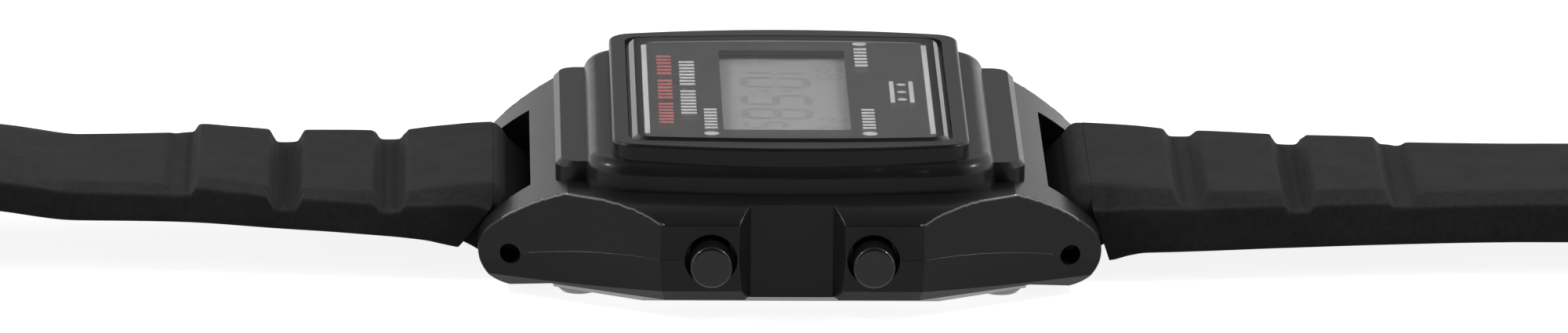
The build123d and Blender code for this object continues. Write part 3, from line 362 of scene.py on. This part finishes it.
# Looks, by material slot. Each names the darkest and lightest colour and the least and most roughness.
MATERIALS = {
    "case_resin": moulded(
        "case_resin_look", (0.0035, 0.0035, 0.0037), (0.0095, 0.0095, 0.0098), (0.28, 0.38), 5200, 0.000004,
        specular=0.08, coat=0.11, coat_rough=0.15,
    ),
    # The fine ridges along the flanks' top edges: a base colour several times lighter than the case's resin, a painted
    # highlight along those edges.
    "case_edge": moulded(
        "case_edge_painted_highlight_look", (0.03, 0.03, 0.0303), (0.05, 0.05, 0.0503), (0.13, 0.2), 5200, 0.000002, specular=0.7,
    ),
    "crystal": clear("crystal_look", (0.985, 0.985, 0.985), (0.0, 0.02), 1.49),
    "seal_rubber": moulded("seal_look", (0.02, 0.02, 0.02), (0.03, 0.03, 0.03), (0.6, 0.75), 4000, 0.000006),
    "dial_print": moulded(
        "dial_look", (0.008, 0.008, 0.0085), (0.012, 0.012, 0.0125), (0.45, 0.55), 6000, 0.000002, specular=0.3,
    ),
    "print_red": moulded(
        "red_print_look", (0.27, 0.058, 0.06), (0.34, 0.078, 0.08), (0.5, 0.6), 6000, 0.000001,
    ),
    "print_pale": moulded(
        "pale_print_and_painted_reflection_look", (0.35, 0.35, 0.345), (0.43, 0.43, 0.425), (0.5, 0.6), 6000, 0.000001,
    ),
    "figures": moulded(
        "figure_look", (0.03, 0.03, 0.035), (0.05, 0.05, 0.055), (0.4, 0.5), 6000, 0.000001, alpha=0.1,
    ),
    "lcd_film": moulded(
        "film_look", (0.21, 0.21, 0.208), (0.245, 0.245, 0.243), (0.3, 0.4), 2200, 0.000001, specular=0.3,
    ),
    "lcd_glass": clear("display_glass_look", (0.97, 0.975, 0.97), (0.0, 0.02), 1.5),
    "lcd_reflector": moulded("reflector_look", (0.5, 0.5, 0.495), (0.6, 0.6, 0.59), (0.5, 0.6), 7000, 0.000002),
    "zebra_rubber": moulded("zebra_look", (0.16, 0.16, 0.16), (0.3, 0.3, 0.3), (0.6, 0.7), 3000, 0.000004),
    "module_plastic": moulded(
        "module_look", (0.045, 0.045, 0.045), (0.07, 0.07, 0.07), (0.45, 0.55), 3500, 0.000004,
    ),
    "insulator_film": moulded(
        "insulator_look", (0.62, 0.42, 0.12), (0.72, 0.5, 0.16), (0.25, 0.35), 2500, 0.000002,
    ),
    "circuit_board": moulded("board_look", (0.03, 0.16, 0.07), (0.05, 0.22, 0.1), (0.3, 0.42), 3000, 0.000003),
    "chip_resin": moulded("chip_look", (0.012, 0.012, 0.012), (0.02, 0.02, 0.02), (0.12, 0.22), 1500, 0.000004),
    "bright_steel": brushed("bright_steel_look", (0.22, 0.22, 0.215), (0.3, 0.3, 0.295), (0.3, 0.42)),
    "tip_steel": brushed("tip_look", (0.02, 0.02, 0.02), (0.05, 0.05, 0.05), (0.5, 0.65)),
    "spring_metal": brushed("spring_look", (0.45, 0.45, 0.44), (0.56, 0.56, 0.55), (0.22, 0.36)),
    "brass": brushed("brass_look", (0.6, 0.44, 0.2), (0.72, 0.56, 0.27), (0.22, 0.38)),
    "case_back_steel": brushed(
        "case_back_look", (0.22, 0.22, 0.217), (0.32, 0.32, 0.315), (0.28, 0.42), stretch=(1, 30, 30),
    ),
    "screw_steel": brushed("screw_look", (0.13, 0.13, 0.127), (0.24, 0.24, 0.235), (0.24, 0.36)),
    "buckle_steel": brushed(
        "buckle_look", (0.42, 0.42, 0.41), (0.55, 0.55, 0.54), (0.24, 0.38), stretch=(30, 1, 30),
    ),
    "pusher_black": moulded(
        "pusher_look", (0.003, 0.003, 0.0032), (0.006, 0.006, 0.0063), (0.2, 0.3), 2600, 0.000002,
        specular=0.08, coat=0.34, coat_rough=0.08,
    ),
    "strap_resin": moulded(
        "strap_look", (0.004, 0.004, 0.0042), (0.029, 0.029, 0.0293), (0.7, 0.85), 3200, 0.00001,
        specular=0.05, blotch=420,
    ),
}


def dress_nodes():
    """Give every CAD node the look of its material slot. The spring bars' tips are darker than their tubes."""
    for name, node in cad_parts.items():
        for holder in node.material_slots:
            holder.material = MATERIALS["tip_steel" if name.startswith("bar_tip") else holder.material.name]


# Meshes

def through(points, place):
    """Height at a place of a smooth line through points, without overshoot."""
    if place <= points[0][0]:
        return points[0][1]
    if place >= points[-1][0]:
        return points[-1][1]
    at = max(i for i in range(len(points) - 1) if points[i][0] <= place)
    slopes = [
        (points[i + 1][1] - points[i][1]) / (points[i + 1][0] - points[i][0]) for i in range(len(points) - 1)
    ]

    def tangent(i):
        if i == 0 or i == len(points) - 1 or slopes[i - 1] * slopes[i] <= 0:
            return 0.0
        return 2 * slopes[i - 1] * slopes[i] / (slopes[i - 1] + slopes[i])

    (x0, y0), (x1, y1) = points[at], points[at + 1]
    run = x1 - x0
    t = (place - x0) / run
    a = 2 * t ** 3 - 3 * t ** 2 + 1
    b = t ** 3 - 2 * t ** 2 + t
    return a * y0 + b * run * tangent(at) + (1 - a) * y1 + (t ** 3 - t ** 2) * run * tangent(at + 1)


def ramp(value, soft):
    """Nothing below zero, the value above it, with a soft bend between."""
    return (value + math.sqrt(value * value + soft * soft)) / 2


def lower(a, b, soft):
    """The lower of two heights, with a soft bend where they cross."""
    return a - ramp(a - b, soft)


def arc(x, y, radius, turns):
    """Points round a centre, at turns in degrees."""
    return [(x + radius * math.cos(math.radians(a)), y + radius * math.sin(math.radians(a))) for a in turns]


def circle(x, y, radius, sides=32):
    return [
        (x + radius * math.cos(math.tau * i / sides), y + radius * math.sin(math.tau * i / sides))
        for i in range(sides)
    ]


def add_mesh(name, points, faces, material=None, smooth=True):
    """An object from points in millimetres, with its faces turned outwards."""
    mesh = bpy.data.meshes.new(name)
    mesh.from_pydata([Vector(p) * MM for p in points], [], faces)
    mesh.update()
    work = bmesh.new()
    work.from_mesh(mesh)
    bmesh.ops.recalc_face_normals(work, faces=work.faces)
    work.to_mesh(mesh)
    work.free()
    if smooth:
        mesh.polygons.foreach_set("use_smooth", [True] * len(mesh.polygons))
    piece = bpy.data.objects.new(name, mesh)
    bpy.context.collection.objects.link(piece)
    if material:
        mesh.materials.append(material)
    return piece


def finish_smooth(piece, angle=35):
    """Smooth shading with the sharp edges kept sharp."""
    mesh = piece.data
    mesh.polygons.foreach_set("use_smooth", [True] * len(mesh.polygons))
    mesh.set_sharp_from_angle(angle=math.radians(angle))


def skin(rings, closed=False):
    """Points and faces of a skin over rings of equal count: capped at both ends, or closed on itself."""
    count = len(rings[0])
    points = [p for ring in rings for p in ring]
    faces = []
    for r in range(len(rings) if closed else len(rings) - 1):
        s = (r + 1) % len(rings)
        for i in range(count):
            j = (i + 1) % count
            faces.append((r * count + i, r * count + j, s * count + j, s * count + i))
    if not closed:
        faces.append(tuple(range(count)))
        faces.append(tuple(range((len(rings) - 1) * count, len(rings) * count)))
    return points, faces


def gathered(skins):
    """Points and faces of several skins as one."""
    points, faces = [], []
    for more, more_faces in skins:
        faces += [tuple(i + len(points) for i in face) for face in more_faces]
        points += more
    return points, faces


def raised(outline, low, high):
    """Two rings: a flat outline at a low and at a high level."""
    return [[(x, y, z) for x, y in outline] for z in (low, high)]


def combine(piece, tool, operation):
    """Join or cut a piece with a tool, then drop the tool."""
    modifier = piece.modifiers.new("combine", "BOOLEAN")
    modifier.operation = operation
    modifier.object = tool
    modifier.solver = "EXACT"
    bpy.context.view_layer.objects.active = piece
    bpy.ops.object.modifier_apply(modifier="combine")
    bpy.data.objects.remove(tool)


def round_bar(name, x, z, radius, half):
    """A cylinder across the watch."""
    return add_mesh(name, *skin([[(u, y, v) for u, v in circle(x, z, radius, 64)] for y in (-half, half)]))


def settle(piece, body):
    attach(piece, body)


# Straps

def groove_run(strap):
    """Ring places about the grooves, closest along their walls."""
    places = []
    for groove in strap["grooves"]:
        for side in (-1, 1):
            places += [groove + side * (WALL_START + WALL_STEP * i) for i in range(WALL_RINGS)]
        places += [groove + FLOOR_STEP * i for i in FLOOR_RINGS]
    return places


def strap_places(strap):
    """Ring places along a strap: close at its start, its grooves and its round tip."""
    places = [strap["reach"] + step for step in START_RINGS]
    place = strap["reach"] + RUN_START
    while place < strap["end"] - END_GAP:
        if all(abs(place - groove) > RUN_CLEAR for groove in strap["grooves"]):
            places.append(place)
        place += FINE_STEP if place < FINE_UNTIL else COARSE_STEP
    places += groove_run(strap)
    if strap is LONG:
        places = [p for p in places if p < strap["end"] - TIP_RADIUS]
        places += [strap["end"] - TIP_RADIUS * (1 - math.sin(math.radians(a))) for a in TIP_TURNS]
        places.append(strap["end"] - TIP_GAP)
    else:
        places.append(strap["end"])
    return sorted(places)


def top_height(strap, place, inset):
    """Height of the strap's top, by how far a point is from the outline."""
    top = through(strap["tops"], place)
    drop = through(strap["drops"], place)
    level = top - drop * ramp(BEVEL - inset, BEND_SOFT) / BEVEL
    for groove, floor in zip(strap["grooves"], strap["floors"]):
        away = abs(place - groove)
        if away > GROOVE_SPAN:
            continue
        on_edge = 1 / (1 + math.exp((inset - BEVEL) / EDGE_BLEND))
        run = GROOVE_WALL + (GROOVE_EDGE_WALL - GROOVE_WALL) * on_edge
        rise = (top - floor) + (GROOVE_EDGE_RISE - (top - floor)) * on_edge
        wall = floor + ramp(away - GROOVE_FLOOR_HALF, GROOVE_FOOT_SOFT) * rise / run
        level = lower(level, wall, GROOVE_SOFT)
    return level


def strap_ring(strap, place):
    """One ring of the strap, from the middle of its top round to the middle again."""
    past_tip = place - strap["end"] + TIP_RADIUS
    in_tip = strap is LONG and past_tip > 0
    half = through(WIDTHS, place)
    if in_tip:
        half = math.sqrt(TIP_RADIUS ** 2 - past_tip ** 2)
    low = through(strap["lows"], place)

    def inset(y):
        return TIP_RADIUS - math.hypot(past_tip, y) if in_tip else half - abs(y)

    side_round = min(SIDE_ROUND, half * SIDE_SHARE)
    under_round = min(UNDER_ROUND, half * UNDER_SHARE)
    flat = max(half - FLAT_EDGE, half * FLAT_SHARE)
    bend = max(half - BEND_EDGE, half * BEND_SHARE)
    ys = [flat * i / 8 for i in range(9)]
    ys += [flat + (bend - flat) * i / 12 for i in range(1, 13)]
    ys += [bend + (half - side_round - bend) * i / 5 for i in range(1, 6)]
    profile = [(y, top_height(strap, place, inset(y))) for y in ys]
    edge = profile[-1][1] - side_round
    bottom = low + under_round
    profile += arc(half - side_round, edge, side_round, [90 - a for a in ROUND_TURNS])
    profile += [(half, edge + (bottom - edge) * i / 6) for i in range(1, 7)]
    profile += arc(half - under_round, bottom, under_round, [-a for a in ROUND_TURNS])
    profile += [((half - under_round) * (1 - i / 6), low) for i in range(1, 7)]
    ring = profile + [(-y, z) for y, z in reversed(profile[1:-1])]
    fade = strap["slant"] * max(0, 1 - (place - strap["reach"]) / SHOULDER_FADE)
    return [(strap["side"] * (place + fade * max(SHOULDER_HIGH - z, 0)), y, z) for y, z in ring]


def smoothed(outline):
    """A line with its corners cut twice, ends kept."""
    for _ in range(2):
        finer = [outline[0]]
        for (x0, z0), (x1, z1) in zip(outline, outline[1:]):
            finer += [
                (0.75 * x0 + 0.25 * x1, 0.75 * z0 + 0.25 * z1),
                (0.25 * x0 + 0.75 * x1, 0.25 * z0 + 0.75 * z1),
            ]
        outline = finer + [outline[-1]]
    return outline


def tongue(strap):
    """The narrow end between the lugs, round about the spring bar."""
    outline = [(x, through(strap["tops"], x) - fall) for x, fall in TONGUE_FALLS]
    outline += TONGUE_NOSE
    outline += [(x, z + share * strap["under"]) for x, z, share in TONGUE_UNDER]
    outline = smoothed(outline + [TONGUE_ROOT])
    shares = [*TONGUE_ENDS, *((share, 0) for share in TONGUE_SHARES)]
    stations = [(-share, drawn_in) for share, drawn_in in shares] + shares[::-1]
    full = through(strap["tops"], strap["reach"]) - TONGUE_FOOT
    rings = []
    for share, drawn_in in stations:
        edge = through(WIDTHS, strap["reach"]) - abs(share) * TONGUE_HALF
        rise = (top_height(strap, strap["reach"], edge) - TONGUE_FOOT) / full
        ring = []
        for x, z in outline:
            if z > TONGUE_FOOT:
                z = TONGUE_FOOT + (z - TONGUE_FOOT) * rise
            away = Vector((x, z)) - TONGUE_MIDDLE
            away *= (away.length - drawn_in) / away.length
            ring.append((strap["side"] * (TONGUE_MIDDLE.x + away.x), share * TONGUE_HALF, TONGUE_MIDDLE.y + away.y))
        rings.append(ring)
    return add_mesh("tongue_tool", *skin(rings))


def cut_holes(piece):
    """The long strap's row of holes for the buckle's tongue."""
    for number in range(HOLE_COUNT):
        place = HOLE_FIRST + number * HOLE_PITCH - LONG["end"]
        tool = add_mesh("hole_tool", *skin(raised(circle(place, 0, HOLE_RADIUS, HOLE_SIDES), *HOLE_CUT)))
        combine(piece, tool, "DIFFERENCE")


def form_eye(piece):
    """The short strap's end, rounded about the buckle's pin and slotted for its tongue."""
    end = SHORT["end"]
    low, top = through(SHORT["lows"], end), through(SHORT["tops"], end)
    middle = (low + top) / 2
    combine(piece, round_bar("eye_tool", end, middle, (top - low) / 2 - EYE_SUNK, EYE_HALF), "UNION")
    foot, head = SLOT_CUT
    corners = ((-SLOT_HALF, foot), (SLOT_HALF, foot), (SLOT_HALF, head), (-SLOT_HALF, head))
    slot = [[(x, y, z) for y, z in corners] for x in (end - SLOT_LENGTH, end + SLOT_PAST)]
    combine(piece, add_mesh("slot_tool", *skin(slot)), "DIFFERENCE")
    combine(piece, round_bar("pin_tool", end, middle, PIN_BORE, CUT_HALF), "DIFFERENCE")


def add_strap(name, strap, body, node):
    """A moulded strap: grooved top with bevelled edges, and the tongue for the spring bar."""
    rings = [strap_ring(strap, place) for place in strap_places(strap)]
    piece = add_mesh(name, *skin(rings), MATERIALS["strap_resin"])
    combine(piece, tongue(strap), "UNION")
    bore = round_bar("bore_tool", strap["side"] * PIN_REACH, PIN_HEIGHT, BORE_RADIUS, CUT_HALF)
    combine(piece, bore, "DIFFERENCE")
    if strap is LONG:
        cut_holes(piece)
    else:
        form_eye(piece)
    finish_smooth(piece)
    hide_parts(node)
    settle(piece, body)


def add_keeper():
    """The loop that holds the strap's end: a rounded band with softened edges."""
    low, high = [[v / MM for v in corner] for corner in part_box("strap_keeper")]
    half_x, mid_x, mid_z = (high[0] - low[0]) / 2, (high[0] + low[0]) / 2, (high[2] + low[2]) / 2
    half_y, half_z = (high[1] - low[1]) / 2, (high[2] - low[2]) / 2
    profile = [
        (KEEPER_WALL / 2 + u, v) for u, v in rounded_bar(0, 0, KEEPER_WALL / 2, half_x, KEEPER_SOFT, 4)
    ]
    rings = []
    for sy, sz, start in ((1, 1, 0), (-1, 1, 90), (-1, -1, 180), (1, -1, 270)):
        cy, cz = sy * (half_y - KEEPER_CORNER), sz * (half_z - KEEPER_CORNER) + mid_z
        for ny, nz in arc(0, 0, 1, [start + 90 * i / 12 for i in range(13)]):
            rings.append([
                (mid_x + v, cy + ny * (KEEPER_CORNER - u), cz + nz * (KEEPER_CORNER - u)) for u, v in profile
            ])
    piece = add_mesh("keeper_moulded", *skin(rings, closed=True), MATERIALS["strap_resin"])
    finish_smooth(piece)
    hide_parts("strap_keeper")
    settle(piece, "keeper")


# Dial and display

def bowed_outline(half_x, half_y, bow, corner, steps=6):
    """Outline of a rectangle whose 3 and 9 o'clock sides bow outwards, with rounded corners."""
    points = []
    for sx, sy, start in ((1, 1, 0), (-1, 1, 90), (-1, -1, 180), (1, -1, 270)):
        turns = [start + 90 * i / steps for i in range(steps + 1)]
        points += arc(sx * (half_x - corner), sy * (half_y - bow - corner), corner, turns)
        if sx == sy:
            run = half_x - corner
            for i in range(1, 16):
                t = 1 - 2 * i / 16
                points.append((sx * run * t, sy * (half_y - bow * t * t)))
    return points


def rounded_bar(x, y, half_x, half_y, corner, steps=3):
    """Outline of a flat rectangle with rounded corners."""
    points = []
    for sx, sy, start in ((1, 1, 0), (-1, 1, 90), (-1, -1, 180), (1, -1, 270)):
        turns = [start + 90 * i / steps for i in range(steps + 1)]
        points += arc(x + sx * (half_x - corner), y + sy * (half_y - corner), corner, turns)
    return points


def tick_row(x, height, start, end):
    """Short upright bars along the dial, as many as fit between two places."""
    count = max(2, round(abs(end - start) / TICK_PITCH))
    step = (end - start) / count
    return [
        rounded_bar(x, start + (i + 0.5) * step, height / 2, abs(step) * TICK_SHARE / 2, TICK_CORNER)
        for i in range(count)
    ]


def add_print(name, bars, look, low, thick):
    """Flat marks on the dial or the display; each bar is a closed outline."""
    points, faces = gathered(skin(raised(outline, low, low + thick)) for outline in bars)
    settle(add_mesh(name, points, faces, MATERIALS[look], False), "case")


def add_dial():
    """The black plate under the crystal, with its window, generic printed marks, and pale strips towards 6 and 12
    o'clock that are a painted reflection of the crystal's bevel.
    """
    low, high = [[v / MM for v in corner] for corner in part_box("dial_plate")]
    top = high[2] - DIAL_GAP
    outline = bowed_outline(high[0] + DIAL_WIDER, high[1], DIAL_BOW, DIAL_CORNER)
    piece = add_mesh("dial", *skin(raised(outline, low[2], top)), MATERIALS["dial_print"], False)
    window = rounded_bar(WINDOW_PLACE, 0, WINDOW_HALF, high[1] - WINDOW_MARGIN, WINDOW_CORNER)
    combine(piece, add_mesh("window_tool", *skin(raised(window, *WINDOW_CUT)), None, False), "DIFFERENCE")
    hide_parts("dial_plate")
    settle(piece, "case")
    red, pale = [
        [bar for start, end in groups for bar in tick_row(x, height, start, end)]
        for x, height, groups in (RED_ROW, PALE_ROW)
    ]
    for x, start, end, spot in LEGENDS:
        pale += tick_row(x, LEGEND_HEIGHT, start, end)
        pale.append(circle(x, spot, LEGEND_DOT))
    pale += [rounded_bar(x, SIGN_MIDDLE, *SIGN_BAR_HALF, SIGN_CORNER) for x in SIGN_BARS]
    pale += [circle(SIGN_DOT_X, y, SIGN_DOT) for y in SIGN_DOTS]
    # Pale strips towards 6 and 12 o'clock, in the pale print's look: a painted reflection of the crystal's bevel.
    pale += [
        rounded_bar(side * REFLECTION_STRIP_PLACE, REFLECTION_STRIP_MIDDLE, REFLECTION_STRIP_WIDE / 2, REFLECTION_STRIP_LONG / 2, SIGN_CORNER) for side in (-1, 1)
    ]
    add_print("dial_marks_red", red, "print_red", top, PRINT_THICK)
    add_print("dial_marks_pale_and_painted_reflection", pale, "print_pale", top, PRINT_THICK)


def figure(char, left, foot, height, width, stroke):
    """Bars of a seven-bar figure; it reads from 9 to 3 o'clock, its top towards 12."""
    gap = stroke * FIGURE_GAP
    middle = height / 2
    bars = {
        "a": (0, height, width, height), "b": (width, middle, width, height), "c": (width, 0, width, middle),
        "d": (0, 0, width, 0), "e": (0, 0, 0, middle), "f": (0, middle, 0, height), "g": (0, middle, width, middle),
    }
    outlines = []
    for key in SEGMENTS[char]:
        u0, v0, u1, v1 = bars[key]
        along = Vector((u1 - u0, v1 - v0)).normalized()
        across = Vector((-along.y, along.x)) * stroke / 2
        a, b = Vector((u0, v0)) + along * gap, Vector((u1, v1)) - along * gap
        tip = along * stroke / 2
        corners = [a, a + tip + across, b - tip + across, b, b - tip - across, a + tip - across]
        outlines.append([(foot + c.y, left - c.x - FIGURE_LEAN * c.y) for c in corners])
    return outlines


def add_display():
    """Faint figures on the display: hours, minutes, seconds and, above them, the date."""
    bars = [circle(x, y, COLON_DOT) for x, y in COLON]
    for figures, *form in FIGURE_ROWS:
        for char, left in figures:
            bars += figure(char, left, *form)
    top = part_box("front_polariser")[1][2] / MM
    add_print("display_figures", bars, "figures", top, FIGURE_THICK)


# Case

def furthest_place(x, hand, heights, out, up):
    """Where a section across the case at x reaches furthest along a direction, out to one side and up."""
    best, furthest = None, 0
    level = heights[0]
    while level < heights[1]:
        start, aim = Vector((x, hand * RAY_START, level)) * MM, Vector((0, -hand, 0))
        hit, place, _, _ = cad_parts["case_body"].ray_cast(start, aim)
        reach = hand * place.y * out + place.z * up if hit else 0
        if reach > furthest:
            best, furthest = place / MM, reach
        level += RIDGE_LEVEL_STEP
    return best


def case_ridge(name, look, ridge):
    """Fine half round ridges on both long sides of the case, on both sides of its middle."""
    start, end = ridge["span"]
    lean, radius, sunk = ridge["lean"], ridge["radius"], ridge["sunk"]
    out, up = math.cos(math.radians(lean)), math.sin(math.radians(lean))
    skins = []
    for hand in (-1, 1):
        for side in (-1, 1):
            xs = [side * (start + (end - start) * step / RIDGE_STEPS) for step in range(RIDGE_STEPS + 1)]
            run = [furthest_place(x, hand, ridge["heights"], out, up) for x in xs]
            rings = []
            for i, place in enumerate(run):
                near = run[max(i - 2, 0):i + 3]
                height = place.z if up else sum(p.z for p in near) / len(near)
                section = arc(hand * place.y - sunk * out, height - sunk * up, radius, range(lean - 90, lean + 91, 30))
                rings.append([(place.x, hand * y, z) for y, z in section])
            skins.append(skin(rings))
    settle(add_mesh(name, *gathered(skins), MATERIALS[look]), "case")


# Studio

def add_floor():
    """A wide pale floor that shows white to the camera, to mirrors and through glass."""
    bpy.ops.mesh.primitive_grid_add(
        x_subdivisions=FLOOR_CELLS, y_subdivisions=FLOOR_CELLS, size=FLOOR_SIZE, location=(0, 0, -FLOOR_DROP),
    )
    floor = bpy.context.object
    floor.name = "floor"
    material = bpy.data.materials.new("floor_white")
    tree, output = node_tree(material)
    nodes, links = tree.nodes, tree.links
    diffuse = nodes.new("ShaderNodeBsdfDiffuse")
    diffuse.inputs["Color"].default_value = (*[FLOOR_COLOR] * 3, 1)
    glow = nodes.new("ShaderNodeEmission")
    glow.inputs["Color"].default_value = (1, 1, 1, 1)
    path = nodes.new("ShaderNodeLightPath")
    mirrored = math_node(tree, "MAXIMUM", path.outputs["Is Glossy Ray"], path.outputs["Is Transmission Ray"])
    seen = math_node(tree, "MAXIMUM", path.outputs["Is Camera Ray"], mirrored)
    links.new(math_node(tree, "MULTIPLY", seen, FLOOR_GLOW), glow.inputs["Strength"])
    both = nodes.new("ShaderNodeAddShader")
    links.new(diffuse.outputs[0], both.inputs[0])
    links.new(glow.outputs[0], both.inputs[1])
    links.new(both.outputs[0], output.inputs[0])
    floor.data.materials.append(material)


def levels(tree, value, stops):
    """A level read off stops by a value from 0 to 1."""
    node = tree.nodes.new("ShaderNodeValToRGB")
    tree.links.new(value, node.inputs["Fac"])
    elements = node.color_ramp.elements
    while len(elements) > 1:
        elements.remove(elements[-1])
    elements[0].position, elements[0].color = stops[0][0], (*[stops[0][1]] * 3, 1)
    for place, level in stops[1:]:
        elements.new(place).color = (level, level, level, 1)
    return node.outputs["Color"]


def set_world():
    """A studio seen from inside: broad soft light from both sides, dim in front, a dark card low behind."""
    world = bpy.data.worlds.new("studio")
    world.use_nodes = True
    bpy.context.scene.world = world
    tree = world.node_tree
    place = tree.nodes.new("ShaderNodeTexCoord")
    parts = tree.nodes.new("ShaderNodeSeparateXYZ")
    tree.links.new(place.outputs["Generated"], parts.inputs[0])
    height = parts.outputs["Z"]
    sideways = math_node(tree, "ABSOLUTE", parts.outputs["X"])
    forward = math_node(tree, "MULTIPLY", parts.outputs["Y"], -1)
    turn = math_node(tree, "DIVIDE", math_node(tree, "ARCTAN2", sideways, forward), math.pi)
    sides = math_node(tree, "MULTIPLY", levels(tree, turn, SIDE_BY_TURN), levels(tree, height, SIDE_BY_HEIGHT))
    card = math_node(tree, "MULTIPLY", levels(tree, turn, CARD_BY_TURN), levels(tree, height, CARD_BY_HEIGHT))
    lit = math_node(tree, "MULTIPLY", sides, SIDE_LEVEL)
    lit = math_node(tree, "MULTIPLY", lit, math_node(tree, "SUBTRACT", 1, card))
    background = tree.nodes["Background"]
    tree.links.new(math_node(tree, "ADD", lit, levels(tree, height, HORIZON)), background.inputs["Strength"])
    background.inputs["Color"].default_value = (1, 1, 1, 1)


add_camera()
add_floor()
set_world()
add_lamp("left_lamp", -1)
add_lamp("right_lamp", 1)
dress_nodes()
add_dial()
add_display()
case_ridge("parting_lines", "case_resin", PARTING)
# Their lighter colour paints a highlight along the flanks' top edges.
case_ridge("flank_edges_painted_highlight", "case_edge", FLANK_EDGE)
add_keeper()
add_strap("strap_long_moulded", LONG, "strap_6", "strap_long")
add_strap("strap_short_moulded", SHORT, "strap_12", "strap_short")

bpy.context.scene.view_settings.view_transform = "Standard"
